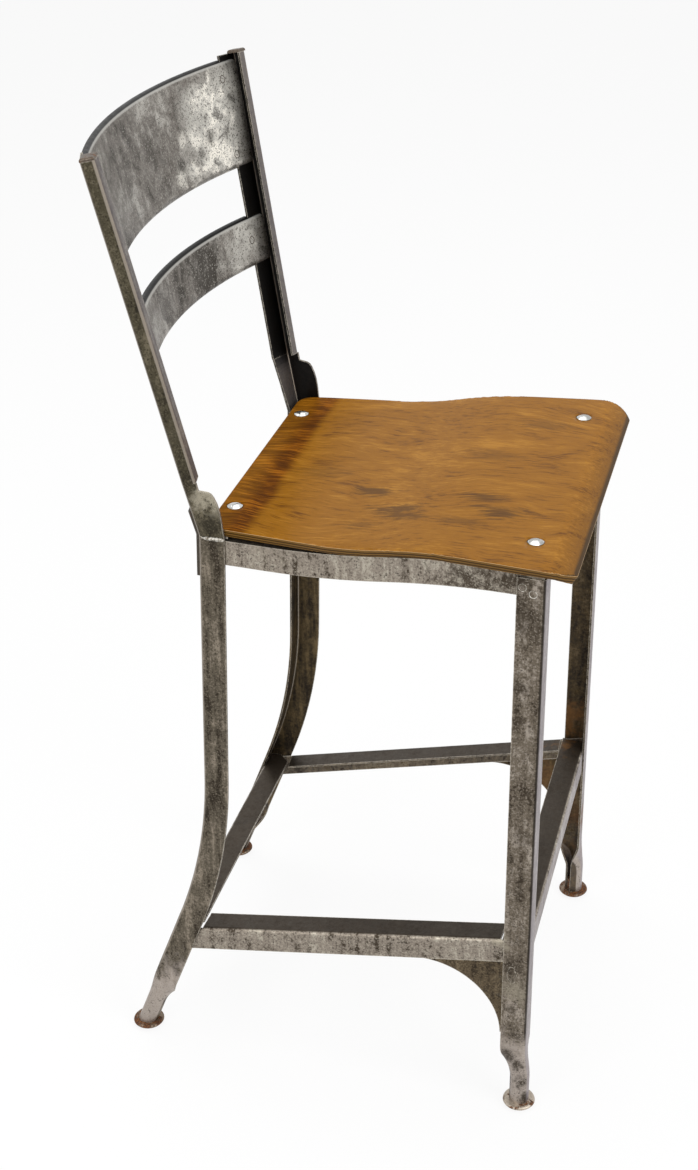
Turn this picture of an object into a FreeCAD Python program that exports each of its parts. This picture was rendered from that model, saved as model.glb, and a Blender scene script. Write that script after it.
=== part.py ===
import FreeCAD, Part
import math
import os
import Sketcher

V = FreeCAD.Vector
UP = V(0, 0, 1)

# Driving sizes in millimetres. Lengths fore and aft are taken from the line
# through the two front feet, heights from the floor. A share is a plain ratio.
DRIVING = [
    ("sheet_gauge", 2.0, "thickness of the pressed angles and channels"),
    ("bend_radius", 4.0, "outer radius of every folded corner"),
    ("flange_width", 25.5, "width of one flange of the one inch angle"),
    ("weld_nip", 0.3, "how far a tucked piece is let into the leg before coping"),
    ("cut_overrun", 6.0, "how far a cutting shape passes the piece it cuts"),
    ("glide_radius", 16.0, "rim radius of the domed glides"),
    ("glide_pad_radius", 7.0, "flat of the glide that meets the floor"),
    ("glide_rim_height", 4.6, "height of the rim above the floor"),
    ("glide_height", 6.8, "height of the glide's flat top"),
    ("sleeve_clearance", 0.3, "glide sleeve to leg tube, all round"),
    ("sleeve_height", 14.0, "length of the glide sleeve in the leg"),
    ("tube_radius", 9.7, "outer radius of the rolled ankle"),
    ("ankle_top", 78.0, "height where the angle starts to roll in"),
    ("ankle_bottom", 36.0, "height where the roll is complete"),
    ("front_corner_x", 181.5, "front leg's outer corner at the floor"),
    ("front_splay_share", 0.010, "front leg's lean outward"),
    ("front_corner_ahead", 5.9, "front leg's face ahead of its foot"),
    ("front_rake_share", 0.003, "front leg's lean forward"),
    ("front_tube_inset", 10.1, "foot centre inboard of the front corner"),
    ("front_leg_top", 600.0, "height of the front legs"),
    ("rear_corner_x", 161.4, "rear leg's outer corner at the floor"),
    ("rear_splay_share", 0.0145, "rear leg's lean outward"),
    ("rear_tube_inset", 9.2, "foot centre inboard of the rear corner"),
    ("rear_tube_advance", 12.2, "foot centre ahead of the leg's back face"),
    ("rear_leg_top", 593.0, "height of the rear legs"),
    ("rear_leg_back", 309.8, "back face of the rear legs at their top"),
    ("rear_bend_start", 330.0, "height where the rear legs start to sweep back"),
    ("rear_bend_radius", 520.0, "radius of the rear legs' sweep"),
    ("rear_top_share", 0.0356, "slope of the rear legs above the sweep"),
    ("rear_foot_share", 0.3862, "slope of the rear legs below the sweep"),
    ("seat_top", 614.0, "height of the seat's front flat"),
    ("ply_thickness", 8.0, "thickness of the moulded plywood"),
    ("lip_overhang", 33.0, "seat's front edge ahead of the front feet"),
    ("lip_start", 3.0, "where the waterfall lip begins, ahead of the feet"),
    ("lip_radius", 43.0, "radius of the waterfall lip"),
    ("seat_rear_edge", 303.0, "back edge of the seat"),
    ("seat_front_overhang", 7.1, "seat's side past the front legs at the feet line"),
    ("seat_rear_gap", 3.2, "seat's side inside the rear legs' outer face"),
    ("seat_fall_start", 72.0, "where the seat starts to fall to the rear"),
    ("seat_fall_run", 130.0, "length of the seat's fall"),
    ("seat_fall_drop", 11.3, "depth of the seat's fall"),
    ("seat_front_corner", 30.0, "plan radius of the front corners"),
    ("seat_rear_corner", 18.0, "plan radius of the rear corners"),
    ("seat_edge_round", 1.6, "rounding of the plywood's edges"),
    ("screw_front_x", 134.0, "front seat screws from the middle"),
    ("screw_front_y", 9.0, "front seat screws behind the feet line"),
    ("screw_rear_x", 106.0, "rear seat screws from the middle"),
    ("screw_rear_y", 290.0, "rear seat screws behind the feet line"),
    ("screw_head_radius", 7.1, "radius of the truss head"),
    ("screw_head_height", 2.9, "height of the truss head"),
    ("screw_head_edge", 0.6, "thin edge of the truss head"),
    ("screw_sink", 0.5, "how far the head is drawn into the plywood"),
    ("screw_shank_radius", 3.1, "radius of the quarter inch shank"),
    ("screw_clearance", 0.3, "shank to hole, all round"),
    ("screw_tail", 1.5, "shank past the nut"),
    ("nut_radius", 6.4, "corner radius of the hexagon nut"),
    ("nut_height", 5.0, "height of the hexagon nut"),
    ("rail_height", 24.3, "upright flange of the seat rails"),
    ("rail_flange", 22.0, "level flange of the seat rails"),
    ("rail_fall_start", 28.0, "where the side rails start to fall"),
    ("rail_fall_run", 218.0, "length of the side rails' fall"),
    ("rail_fall_drop", 14.8, "depth of the side rails' fall"),
    ("front_stretcher_top", 208.0, "height of the front stretcher"),
    ("rear_stretcher_top", 145.0, "height of the rear stretcher"),
    ("side_stretcher_top", 212.0, "side stretcher's fold at the front feet line"),
    ("side_stretcher_share", 0.199, "fall of the side stretchers to the rear"),
    ("stretcher_gap", 2.0, "side stretcher's flange to the cross stretchers"),
    ("stretcher_clip", 12.0, "corner clipped off the rear stretcher"),
    ("gusset_reach", 98.0, "gusset's tip along the side stretcher"),
    ("gusset_foot", 93.0, "height of the gusset's tip on the leg"),
    ("gusset_radius", 76.0, "hollow edge of the gusset"),
    ("post_rise", 348.0, "back posts' top above the rear legs' top"),
    ("post_splay_share", 0.116, "posts' lean outward"),
    ("post_rake_share", 0.185, "posts' lean to the rear"),
    ("post_web", 13.2, "depth of the post's side web"),
    ("post_front_flange", 12.5, "front flange of the post"),
    ("post_rear_flange", 25.5, "rear flange of the post"),
    ("post_turn_share", 0.16, "post's side web turned outward to the rear"),
    ("post_seat_share", 0.34, "rear flange's slope to meet the slats"),
    ("post_flange_rise", 52.0, "front flange's lower end above the rear legs' top"),
    ("cap_height", 3.0, "thickness of the post's closing cap"),
    ("slat_gauge", 1.6, "thickness of the slats"),
    ("slat_roll", 5.5, "radius of the slats' rolled edges"),
    ("lower_slat_roll", 6.0, "radius of the lower slat's top edge"),
    ("slat_end_gap", 2.0, "slat's end short of the post's web"),
    ("slat_corner", 8.0, "rounded corners of the slats"),
    ("upper_slat_drop", 5.3, "upper slat's top below the posts' top"),
    ("upper_slat_height", 100.7, "height of the upper slat"),
    ("lower_slat_drop", 151.5, "lower slat's top below the posts' top"),
    ("lower_slat_height", 48.5, "height of the lower slat"),
    ("strap_gauge", 3.0, "thickness of the splice strap"),
    ("strap_width", 17.0, "width of the splice strap"),
    ("strap_below", 42.0, "strap's reach down the leg"),
    ("strap_above", 24.0, "strap's reach up the post"),
    ("bead_radius", 1.8, "radius of the weld beads"),
    ("fit_gap", 0.4, "clearance between folded pieces that pass close by"),
]

# Sizes worked out from the driving ones, in the same sheet.
DERIVED = [
    ("bend_inner", "=bend_radius - sheet_gauge"),
    ("top_cos", "=1 / sqrt(1 + rear_top_share ^ 2)"),
    ("top_sin", "=rear_top_share * top_cos"),
    ("foot_cos", "=1 / sqrt(1 + rear_foot_share ^ 2)"),
    ("foot_sin", "=rear_foot_share * foot_cos"),
    ("bend_drop", "=rear_bend_radius * (foot_sin - top_sin)"),
    ("bend_back", "=rear_bend_radius * (top_cos - foot_cos)"),
    ("bend_start_back", "=rear_leg_back + rear_top_share * (rear_leg_top - rear_bend_start)"),
    ("bend_end", "=rear_bend_start - bend_drop"),
    ("bend_end_back", "=bend_start_back + bend_back"),
    ("rear_floor_back", "=bend_end_back + rear_foot_share * (bend_end - glide_height)"),
    ("foot_span", "=rear_floor_back - rear_tube_advance"),
    ("feet_y", "=-(foot_span + glide_radius - lip_overhang) / 2"),
    ("front_foot_x", "=front_corner_x - front_tube_inset"),
    ("rear_foot_x", "=rear_corner_x - rear_tube_inset"),
    ("rear_foot_y", "=feet_y + foot_span"),
    ("front_top_x", "=front_corner_x - front_splay_share * front_leg_top"),
    ("rear_top_x", "=rear_corner_x - rear_splay_share * rear_leg_top"),
    ("front_top_ahead", "=front_corner_ahead + front_rake_share * front_leg_top"),
    ("toe_share", "=(front_top_x - rear_top_x) / (rear_leg_back + front_top_ahead)"),
    ("post_top", "=rear_leg_top + post_rise"),
    ("post_flange_end", "=rear_leg_top + post_flange_rise"),
    ("upper_slat_top", "=post_top - upper_slat_drop"),
    ("upper_slat_bottom", "=upper_slat_top - upper_slat_height"),
    ("lower_slat_top", "=post_top - lower_slat_drop"),
    ("lower_slat_bottom", "=lower_slat_top - lower_slat_height"),
    ("seat_front_half", "=front_top_x + seat_front_overhang"),
    ("seat_rear_half", "=rear_top_x - seat_rear_gap"),
    ("seat_under", "=seat_top - ply_thickness"),
    ("seat_rear_top", "=seat_top - seat_fall_drop"),
    ("seat_rear_under", "=seat_rear_top - ply_thickness"),
    ("lip_reach", "=lip_overhang - lip_start"),
    ("lip_hub", "=seat_top - lip_radius"),
    ("lip_rise", "=sqrt(lip_radius ^ 2 - lip_reach ^ 2)"),
    ("lip_under_radius", "=lip_radius - ply_thickness"),
    ("lip_under_share", "=lip_under_radius / lip_radius"),
    ("lip_tip_z", "=lip_hub + lip_rise"),
    ("lip_under_y", "=lip_start + lip_reach * lip_under_share"),
    ("lip_under_z", "=lip_hub + lip_rise * lip_under_share"),
    ("seat_fall_end", "=seat_fall_start + seat_fall_run"),
    ("seat_fall_mid", "=seat_fall_start + seat_fall_run / 2"),
    ("seat_fall_mid_z", "=seat_top - seat_fall_drop / 2"),
    ("seat_fall_radius", "=(seat_fall_run ^ 2 + seat_fall_drop ^ 2) / (4 * seat_fall_drop)"),
    ("seat_fall_sin", "=seat_fall_run / (2 * seat_fall_radius)"),
    ("seat_fall_cos", "=1 - seat_fall_drop / (2 * seat_fall_radius)"),
    ("seat_under_mid", "=seat_fall_mid - ply_thickness * seat_fall_sin"),
    ("seat_under_mid_z", "=seat_fall_mid_z - ply_thickness * seat_fall_cos"),
    ("seat_fall_inner", "=seat_fall_radius - ply_thickness"),
    ("seat_fall_outer", "=seat_fall_radius + ply_thickness"),
    ("seat_profile_end", "=seat_rear_edge + cut_overrun"),
    ("seat_taper_share", "=(seat_front_half - seat_rear_half) / seat_rear_edge"),
    ("seat_front_line", "=lip_overhang + seat_edge_round"),
    ("seat_lip_half", "=seat_front_half + seat_taper_share * seat_front_line"),
    ("seat_blank_width", "=2 * seat_lip_half + cut_overrun"),
    ("side_cos", "=1 / sqrt(1 + seat_taper_share ^ 2)"),
    ("side_sin", "=seat_taper_share * side_cos"),
    ("front_tangent", "=seat_front_corner * (1 + side_sin) / side_cos"),
    ("rear_tangent", "=seat_rear_corner * side_cos / (1 + side_sin)"),
    ("fc_edge_x", "=seat_lip_half - front_tangent"),
    ("fc_side_x", "=seat_lip_half - front_tangent * side_sin"),
    ("fc_side_y", "=front_tangent * side_cos - seat_front_line"),
    ("rc_side_x", "=seat_rear_half + rear_tangent * side_sin"),
    ("rc_side_y", "=seat_rear_edge - rear_tangent * side_cos"),
    ("rc_edge_x", "=seat_rear_half - rear_tangent"),
    ("seat_clear_x", "=seat_lip_half + 2 * cut_overrun"),
    ("seat_clear_front", "=seat_front_line + 2 * cut_overrun"),
    ("seat_clear_rear", "=seat_rear_edge + 2 * cut_overrun"),
    ("screw_hole_radius", "=screw_shank_radius + screw_clearance"),
    ("screw_seat_radius", "=screw_head_radius + screw_clearance"),
    ("front_screw_z", "=seat_top - screw_sink"),
    ("rear_screw_z", "=seat_rear_top - screw_sink"),
    ("screw_length", "=ply_thickness - screw_sink + sheet_gauge + nut_height + screw_tail"),
    ("screw_dome", "=screw_head_height - screw_head_edge"),
    ("screw_dome_radius", "=(screw_head_radius ^ 2 + screw_dome ^ 2) / (2 * screw_dome)"),
    ("plan_long", "=sqrt(1 + toe_share ^ 2)"),
    ("rail_plane_x", "=front_top_x - toe_share * front_top_ahead - sheet_gauge + weld_nip"),
    ("rail_front", "=front_top_ahead - sheet_gauge + weld_nip"),
    ("rail_end", "=(rear_leg_back - sheet_gauge + weld_nip) * plan_long"),
    ("rail_bottom", "=seat_under - rail_height"),
    ("rail_rear_top", "=seat_under - rail_fall_drop"),
    ("rail_rear_bottom", "=rail_rear_top - rail_height"),
    ("rail_fall_end", "=rail_fall_start + rail_fall_run"),
    ("rail_fall_mid", "=rail_fall_start + rail_fall_run / 2"),
    ("rail_mid_top", "=seat_under - rail_fall_drop / 2"),
    ("rail_mid_bottom", "=rail_mid_top - rail_height"),
    ("rail_fall_radius", "=(rail_fall_run ^ 2 + rail_fall_drop ^ 2) / (4 * rail_fall_drop)"),
    ("rail_level_start", "=flange_width - rail_front + fit_gap + toe_share * rail_flange"),
    ("rail_level_end", "=(rear_leg_back - 2 * sheet_gauge - fit_gap) * plan_long"),
    ("level_front_under", "=seat_under - sheet_gauge"),
    ("level_mid_under", "=rail_mid_top - sheet_gauge"),
    ("level_rear_under", "=rail_rear_top - sheet_gauge"),
    ("front_rail_half", "=rail_plane_x - toe_share * (flange_width / 2 - rail_front) - sheet_gauge / 2"),
    ("rear_rail_back", "=rear_leg_back - sheet_gauge / top_cos"),
    ("rear_rail_half", "=rail_plane_x - toe_share * (rear_rail_back - flange_width / 2) - sheet_gauge / 2"),
    ("front_rail_length", "=2 * front_rail_half"),
    ("rear_rail_length", "=2 * rear_rail_half"),
    ("front_rail_y", "=feet_y - rail_front"),
    ("rear_rail_y", "=feet_y + rear_rail_back"),
    ("front_rail_hole", "=screw_front_y + rail_front"),
    ("rear_rail_hole", "=screw_rear_y - rear_rail_back"),
    ("stretcher_front", "=front_corner_ahead + front_rake_share * front_stretcher_top - sheet_gauge + weld_nip"),
    ("stretcher_edge_x", "=front_corner_x - front_splay_share * front_stretcher_top - toe_share * flange_width - sheet_gauge + weld_nip"),
    ("stretcher_edge_y", "=flange_width - stretcher_front"),
    ("rear_stretcher_back", "=bend_end_back + rear_foot_share * (bend_end - rear_stretcher_top) - sheet_gauge / foot_cos + weld_nip"),
    ("stretcher_rear_x", "=rear_corner_x - rear_splay_share * rear_stretcher_top + toe_share * flange_width - sheet_gauge + weld_nip"),
    ("stretcher_rear_y", "=rear_stretcher_back - flange_width"),
    ("stretcher_toe_share", "=(stretcher_edge_x - stretcher_rear_x) / (stretcher_rear_y - stretcher_edge_y)"),
    ("stretcher_plane_x", "=stretcher_edge_x + stretcher_toe_share * stretcher_edge_y"),
    ("stretcher_long", "=sqrt(1 + stretcher_toe_share ^ 2)"),
    ("stretcher_pitch_long", "=sqrt(1 + (side_stretcher_share / stretcher_long) ^ 2)"),
    ("side_start", "=stretcher_front * stretcher_long * stretcher_pitch_long"),
    ("side_length", "=(rear_stretcher_back + stretcher_front + flange_width) * stretcher_long * stretcher_pitch_long"),
    ("side_level_front", "=(flange_width + stretcher_gap) * stretcher_long * stretcher_pitch_long"),
    ("side_level_rear", "=(rear_stretcher_back - flange_width - stretcher_gap + stretcher_front) * stretcher_long * stretcher_pitch_long"),
    ("side_clear_x", "=flange_width + cut_overrun"),
    ("side_clear_y", "=side_length + cut_overrun"),
    ("front_stretcher_half", "=stretcher_plane_x - stretcher_toe_share * (flange_width / 2 - stretcher_front) - sheet_gauge / 2"),
    ("front_stretcher_length", "=2 * front_stretcher_half"),
    ("front_stretcher_y", "=feet_y - stretcher_front"),
    ("rear_stretcher_half", "=stretcher_plane_x - stretcher_toe_share * (rear_stretcher_back - flange_width / 2) - sheet_gauge / 2"),
    ("rear_stretcher_length", "=2 * rear_stretcher_half"),
    ("rear_stretcher_y", "=feet_y + rear_stretcher_back"),
    ("clip_x", "=rear_stretcher_half - stretcher_clip"),
    ("clip_far_x", "=rear_stretcher_half + cut_overrun"),
    ("clip_y", "=flange_width - stretcher_clip"),
    ("clip_far_y", "=flange_width + cut_overrun"),
    ("clip_start_x", "=clip_x - cut_overrun"),
    ("clip_start_y", "=clip_y - cut_overrun"),
    ("stretcher_depth", "=flange_width * sqrt(1 + side_stretcher_share ^ 2)"),
    ("gusset_tuck", "=stretcher_edge_y / 2"),
    ("gusset_tip_z", "=side_stretcher_top - side_stretcher_share * gusset_reach - stretcher_depth"),
    ("gusset_root_z", "=side_stretcher_top - side_stretcher_share * gusset_tuck - stretcher_depth"),
    ("gusset_edge_y", "=stretcher_edge_y"),
    ("glide_dome_radius", "=((glide_radius - glide_pad_radius) ^ 2 + glide_rim_height ^ 2) / (2 * glide_rim_height)"),
    ("glide_curl", "=glide_height - glide_rim_height"),
    ("glide_top_radius", "=glide_radius - glide_curl"),
    ("sleeve_radius", "=tube_radius - sheet_gauge - sleeve_clearance"),
    ("sleeve_length", "=sleeve_height + glide_curl"),
    ("front_sleeve_x", "=front_foot_x + front_splay_share * glide_curl"),
    ("rear_sleeve_x", "=rear_foot_x + rear_splay_share * glide_curl"),
    ("rear_sleeve_y", "=rear_foot_y + rear_foot_share * glide_curl"),
]

doc = FreeCAD.newDocument("StoolWithBackrest")
sheet = doc.addObject("Spreadsheet::Sheet", "Sizes")
for number, (alias, value, note) in enumerate(DRIVING, start=1):
    sheet.set("A%d" % number, note)
    sheet.set("B%d" % number, "%s" % value)
    sheet.setAlias("B%d" % number, alias)


def derive(alias, formula):
    """Add one worked-out size to the sheet."""
    derive.row += 1
    sheet.set("A%d" % derive.row, "worked out")
    sheet.set("B%d" % derive.row, formula)
    sheet.setAlias("B%d" % derive.row, alias)


derive.row = len(DRIVING) + 2
for alias, formula in DERIVED:
    derive(alias, formula)
doc.recompute()


def size(alias):
    """Value of a named size; a leading minus turns its sign."""
    if alias == "0":
        return 0.0
    if alias.startswith("-"):
        return -float(sheet.get(alias[1:]))
    return float(sheet.get(alias))


def term(alias):
    """The same name as an expression for a property."""
    if alias.startswith("-"):
        return "-Sizes." + alias[1:]
    return "Sizes." + alias


pieces = []


def keep(thing, label):
    """Name a finished piece and put it on the list for export."""
    thing.Label = label
    pieces.append(thing)
    return thing


def mirror(source, label):
    """The same piece on the other side of the stool."""
    other = doc.addObject("Part::Mirroring", "Mirror_" + label)
    other.Source = source
    other.Base = V(0, 0, 0)
    other.Normal = V(1, 0, 0)
    return keep(other, label)


def plane_of(body, role):
    """Origin plane of a body by its role."""
    return [item for item in body.Origin.OriginFeatures if item.Role == role][0]


def pin_point(sketch, geo, pos, x, y):
    """Hold one point of a sketch at two named sizes."""
    if x == "0":
        sketch.addConstraint(Sketcher.Constraint("PointOnObject", geo, pos, -2))
    else:
        index = sketch.addConstraint(
            Sketcher.Constraint("DistanceX", -1, 1, geo, pos, size(x)))
        sketch.setExpression("Constraints[%d]" % index, term(x))
    if y == "0":
        sketch.addConstraint(Sketcher.Constraint("PointOnObject", geo, pos, -1))
    else:
        index = sketch.addConstraint(
            Sketcher.Constraint("DistanceY", -1, 1, geo, pos, size(y)))
        sketch.setExpression("Constraints[%d]" % index, term(y))


def outline(sketch, spots):
    """Closed outline. A spot is (x, y) or (x, y, radius, bulge) where an arc
    of that radius leaves it; bulge 1 turns left and -1 turns right."""
    first = sketch.GeometryCount
    count = len(spots)
    ends = []
    for index, spot in enumerate(spots):
        after = spots[(index + 1) % count]
        start = V(size(spot[0]), size(spot[1]), 0)
        stop = V(size(after[0]), size(after[1]), 0)
        if len(spot) == 2:
            sketch.addGeometry(Part.LineSegment(start, stop), False)
            ends.append((1, 2))
            continue
        radius = size(spot[2])
        chord = stop - start
        half = chord.Length / 2
        rise = math.sqrt(max(radius * radius - half * half, 0))
        side = V(-chord.y, chord.x, 0)
        side.normalize()
        centre = (start + stop) * 0.5 + side * (rise * spot[3])
        low, high = (start, stop) if spot[3] > 0 else (stop, start)
        begin = math.atan2(low.y - centre.y, low.x - centre.x)
        finish = math.atan2(high.y - centre.y, high.x - centre.x)
        if finish < begin:
            finish += 2 * math.pi
        circle = Part.Circle(centre, UP, radius)
        sketch.addGeometry(Part.ArcOfCircle(circle, begin, finish), False)
        ends.append((1, 2) if spot[3] > 0 else (2, 1))
    for index, spot in enumerate(spots):
        following = (index + 1) % count
        sketch.addConstraint(Sketcher.Constraint(
            "Coincident", first + index, ends[index][1],
            first + following, ends[following][0]))
    for index, spot in enumerate(spots):
        pin_point(sketch, first + index, ends[index][0], spot[0], spot[1])
        if len(spot) > 2:
            number = sketch.addConstraint(
                Sketcher.Constraint("Radius", first + index, size(spot[2])))
            sketch.setExpression("Constraints[%d]" % number, term(spot[2]))


def circles(sketch, radius, spots):
    """Round holes of one named radius."""
    for x, y in spots:
        geo = sketch.addGeometry(
            Part.Circle(V(size(x), size(y), 0), UP, size(radius)), False)
        pin_point(sketch, geo, 3, x, y)
        index = sketch.addConstraint(Sketcher.Constraint("Radius", geo, size(radius)))
        sketch.setExpression("Constraints[%d]" % index, term(radius))


def new_sketch(body, name, role, lift=None):
    """Sketch on an origin plane of the body, lifted by a named size."""
    sketch = body.newObject("Sketcher::SketchObject", name)
    sketch.AttachmentSupport = (plane_of(body, role), [""])
    sketch.MapMode = "FlatFace"
    if lift is not None:
        sketch.setExpression("AttachmentOffset.Base.z", term(lift))
    return sketch


def pad(body, name, sketch, length, backward=False, both=False):
    """Pad a sketch by a named size."""
    feature = body.newObject("PartDesign::Pad", name)
    feature.Profile = sketch
    feature.setExpression("Length", term(length))
    feature.Reversed = backward
    if both:
        feature.SideType = "Symmetric"
    sketch.Visibility = False
    return feature


def pocket(body, name, sketch):
    """Cut a sketch through the whole body, both ways."""
    doc.recompute()
    feature = body.newObject("PartDesign::Pocket", name)
    feature.Profile = sketch
    feature.SideType = "Symmetric"
    feature.Type = "ThroughAll"
    sketch.Visibility = False
    return feature


def cope(source, tools, name, label):
    """Cut a piece where it meets its neighbours."""
    for number, tool in enumerate(tools, start=1):
        cut = doc.addObject("Part::Cut", "%s_Cope%d" % (name, number))
        cut.Base = source
        cut.Tool = tool
        cut.Refine = True
        source = cut
    return keep(source, label)


def solid_piece(shape, name, label):
    """A piece whose shape is worked out from the sheet by the code."""
    thing = doc.addObject("Part::Feature", name)
    thing.Shape = shape
    return keep(thing, label)


# Pressed strip sections. A strip is walked along its middle line as a list of
# (length, turn) runs and given its thickness on both sides.
def walk(runs):
    spots = [(0.0, 0.0, 0.0)]
    for length, turn in runs:
        spots.append(step(spots[-1], length, turn))
    return spots


def step(spot, length, turn):
    u, v, heading = spot
    if turn == 0:
        return (u + length * math.cos(heading), v + length * math.sin(heading), heading)
    radius = length / turn
    return (u + radius * (math.sin(heading + turn) - math.sin(heading)),
            v - radius * (math.cos(heading + turn) - math.cos(heading)),
            heading + turn)


def strip_wire(runs, gauge, anchor, centre, along, inward):
    """Closed section of a strip. The middle of the anchor run sits at the
    centre with its heading along, turning toward inward."""
    spots = walk(runs)
    length, turn = runs[anchor]
    hub = step(spots[anchor], length / 2, turn / 2)

    def place(spot, offset):
        u = spot[0] - offset * math.sin(spot[2]) - hub[0]
        v = spot[1] + offset * math.cos(spot[2]) - hub[1]
        cos, sin = math.cos(hub[2]), math.sin(hub[2])
        return centre + along * (u * cos + v * sin) + inward * (v * cos - u * sin)

    def side(offset):
        edges = []
        for index, (run, bend) in enumerate(runs):
            start = place(spots[index], offset)
            stop = place(spots[index + 1], offset)
            if bend == 0:
                edges.append(Part.LineSegment(start, stop).toShape())
            else:
                middle = place(step(spots[index], run / 2, bend / 2), offset)
                edges.append(Part.Arc(start, middle, stop).toShape())
        return edges

    outer = side(-gauge / 2)
    inner = side(gauge / 2)
    cap = Part.LineSegment(place(spots[-1], -gauge / 2), place(spots[-1], gauge / 2))
    foot = Part.LineSegment(place(spots[0], gauge / 2), place(spots[0], -gauge / 2))
    return Part.Wire(outer + [cap.toShape()] + inner[::-1] + [foot.toShape()])


def level(vector, axis):
    """Part of a direction square to an axis, as a unit vector."""
    flat = vector - axis * vector.dot(axis)
    flat.normalize()
    return flat


def join(solids):
    """Fuse a chain of solids that meet face to face."""
    whole = solids[0].fuse(solids[1:]).removeSplitter()
    body = whole.Solids[0]
    if body.Volume < 0:
        body.reverse()
    return body


def below(height, reach):
    """Block under a level plane, for trimming feet."""
    return Part.makeBox(2 * reach, 2 * reach, reach, V(-reach, -reach, height - reach))


gauge = size("sheet_gauge")
bend = size("bend_radius")
flange = size("flange_width")
overrun = size("cut_overrun")
feet_y = size("feet_y")
glide_height = size("glide_height")
toe = size("toe_share")


class Leg:
    """Right-hand leg: an angle whose corner follows a line, rolled into an
    open tube above the foot."""

    def __init__(self, side_way, cross_way):
        self.side_way = side_way
        self.cross_way = cross_way

    def frame(self, axis):
        a = level(self.side_way, axis)
        b = level(self.cross_way, axis)
        inward = a + b
        inward.normalize()
        along = b - a
        along.normalize()
        return a, b, inward, along

    def section(self, outer, axis, roll):
        """Section with the outside of its fold at a point."""
        a, b, inward, along = self.frame(axis)
        turn = math.pi - a.getAngle(b)
        tangent = bend * math.tan(turn / 2)
        fold = (bend - gauge / 2) * turn
        arm = flange - tangent
        middle = size("tube_radius") - gauge / 2
        runs = [(arm, roll * arm / middle),
                (fold, (1 - roll) * turn + roll * fold / middle),
                (arm, roll * arm / middle)]
        return strip_wire(runs, gauge, 1, outer + inward * (gauge / 2), along, inward)

    def fold_outside(self, corner, axis):
        """Outside of the fold for a sharp outer corner."""
        a, b, inward, along = self.frame(axis)
        turn = math.pi - a.getAngle(b)
        return corner + inward * (bend / math.cos(turn / 2) - bend)

    def ankle(self, corner_at, foot, axis):
        """Rolled ankle and tube below the angle."""
        top, low = size("ankle_top"), size("ankle_bottom")
        a, b, inward, along = self.frame(axis)

        def tube_at(height):
            centre = foot + axis * ((height - foot.z) / axis.z)
            return centre - inward * size("tube_radius")

        wires = []
        roll_shares = (0.0, 0.2, 0.4, 0.6, 0.8, 1.0)
        for share in roll_shares:
            height = top + (low - top) * share
            ease = share * share * (3 - 2 * share)
            start = self.fold_outside(corner_at(height), axis)
            outer = start + (tube_at(height) - start) * ease
            wires.append(self.section(outer, axis, ease))
        solids = [Part.makeLoft(wires, True, False)]
        end = self.section(tube_at(glide_height - overrun), axis, 1.0)
        solids.append(Part.makeLoft([wires[-1], end], True, True))
        return solids, wires[0]


# Front leg, right side of the sitter.
def front_corner(height):
    return V(-(size("front_corner_x") - size("front_splay_share") * height),
             feet_y - size("front_corner_ahead") - size("front_rake_share") * height,
             height)


front_leg = Leg(V(toe, 1, 0), V(1, 0, 0))
front_axis = front_corner(0) - front_corner(size("front_leg_top"))
front_axis.normalize()
front_foot = V(-size("front_foot_x"), feet_y, glide_height)
solids, top_wire = front_leg.ankle(front_corner, front_foot, front_axis)
head = front_leg.section(
    front_leg.fold_outside(front_corner(size("front_leg_top")), front_axis), front_axis, 0.0)
solids.append(Part.makeLoft([head, top_wire], True, True))
shape = join(solids).cut(below(glide_height, size("front_leg_top"))).Solids[0]
front_right_leg = solid_piece(shape, "FrontRightLeg", "front_right_leg")


# Rear leg, right side: straight, swept back on an arc, straight to the foot.
def rear_x(height):
    return -(size("rear_corner_x") - size("rear_splay_share") * height)


def rear_corner(height):
    """Outer back corner at a height, above or below the sweep."""
    if height >= size("rear_bend_start"):
        back = size("rear_leg_back") + size("rear_top_share") * (size("rear_leg_top") - height)
    elif height <= size("bend_end"):
        back = size("bend_end_back") + size("rear_foot_share") * (size("bend_end") - height)
    else:
        radius = size("rear_bend_radius")
        sine = size("top_sin") + (size("rear_bend_start") - height) / radius
        back = size("bend_start_back") + radius * (size("top_cos") - math.sqrt(1 - sine ** 2))
    return V(rear_x(height), feet_y + back, height)


def rear_axis(height):
    """Direction down the rear leg at a height."""
    if height >= size("rear_bend_start"):
        slope = size("rear_top_share")
    elif height <= size("bend_end"):
        slope = size("rear_foot_share")
    else:
        sine = size("top_sin") + (size("rear_bend_start") - height) / size("rear_bend_radius")
        slope = sine / math.sqrt(1 - sine ** 2)
    way = V(-size("rear_splay_share"), slope, -1)
    way.normalize()
    return way


rear_leg = Leg(V(-toe, -1, 0), V(1, 0, 0))


def rear_section(height):
    axis = rear_axis(height)
    return rear_leg.section(rear_leg.fold_outside(rear_corner(height), axis), axis, 0.0)


rear_foot = V(-size("rear_foot_x"), size("rear_foot_y"), glide_height)
foot_axis = rear_axis(size("ankle_top"))
solids, top_wire = rear_leg.ankle(rear_corner, rear_foot, foot_axis)
rear_head = rear_section(size("rear_leg_top"))
sweep_shares = (0.0, 0.2, 0.4, 0.6, 0.8, 1.0)
sweep = []
for share in sweep_shares:
    drop = share * (size("rear_bend_start") - size("bend_end"))
    sweep.append(rear_section(size("rear_bend_start") - drop))
solids.append(Part.makeLoft([rear_head, sweep[0]], True, True))
solids.append(Part.makeLoft(sweep, True, False))
solids.append(Part.makeLoft([sweep[-1], top_wire], True, True))
shape = join(solids).cut(below(glide_height, size("rear_leg_top"))).Solids[0]
rear_right_leg = solid_piece(shape, "RearRightLeg", "rear_right_leg")

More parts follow.
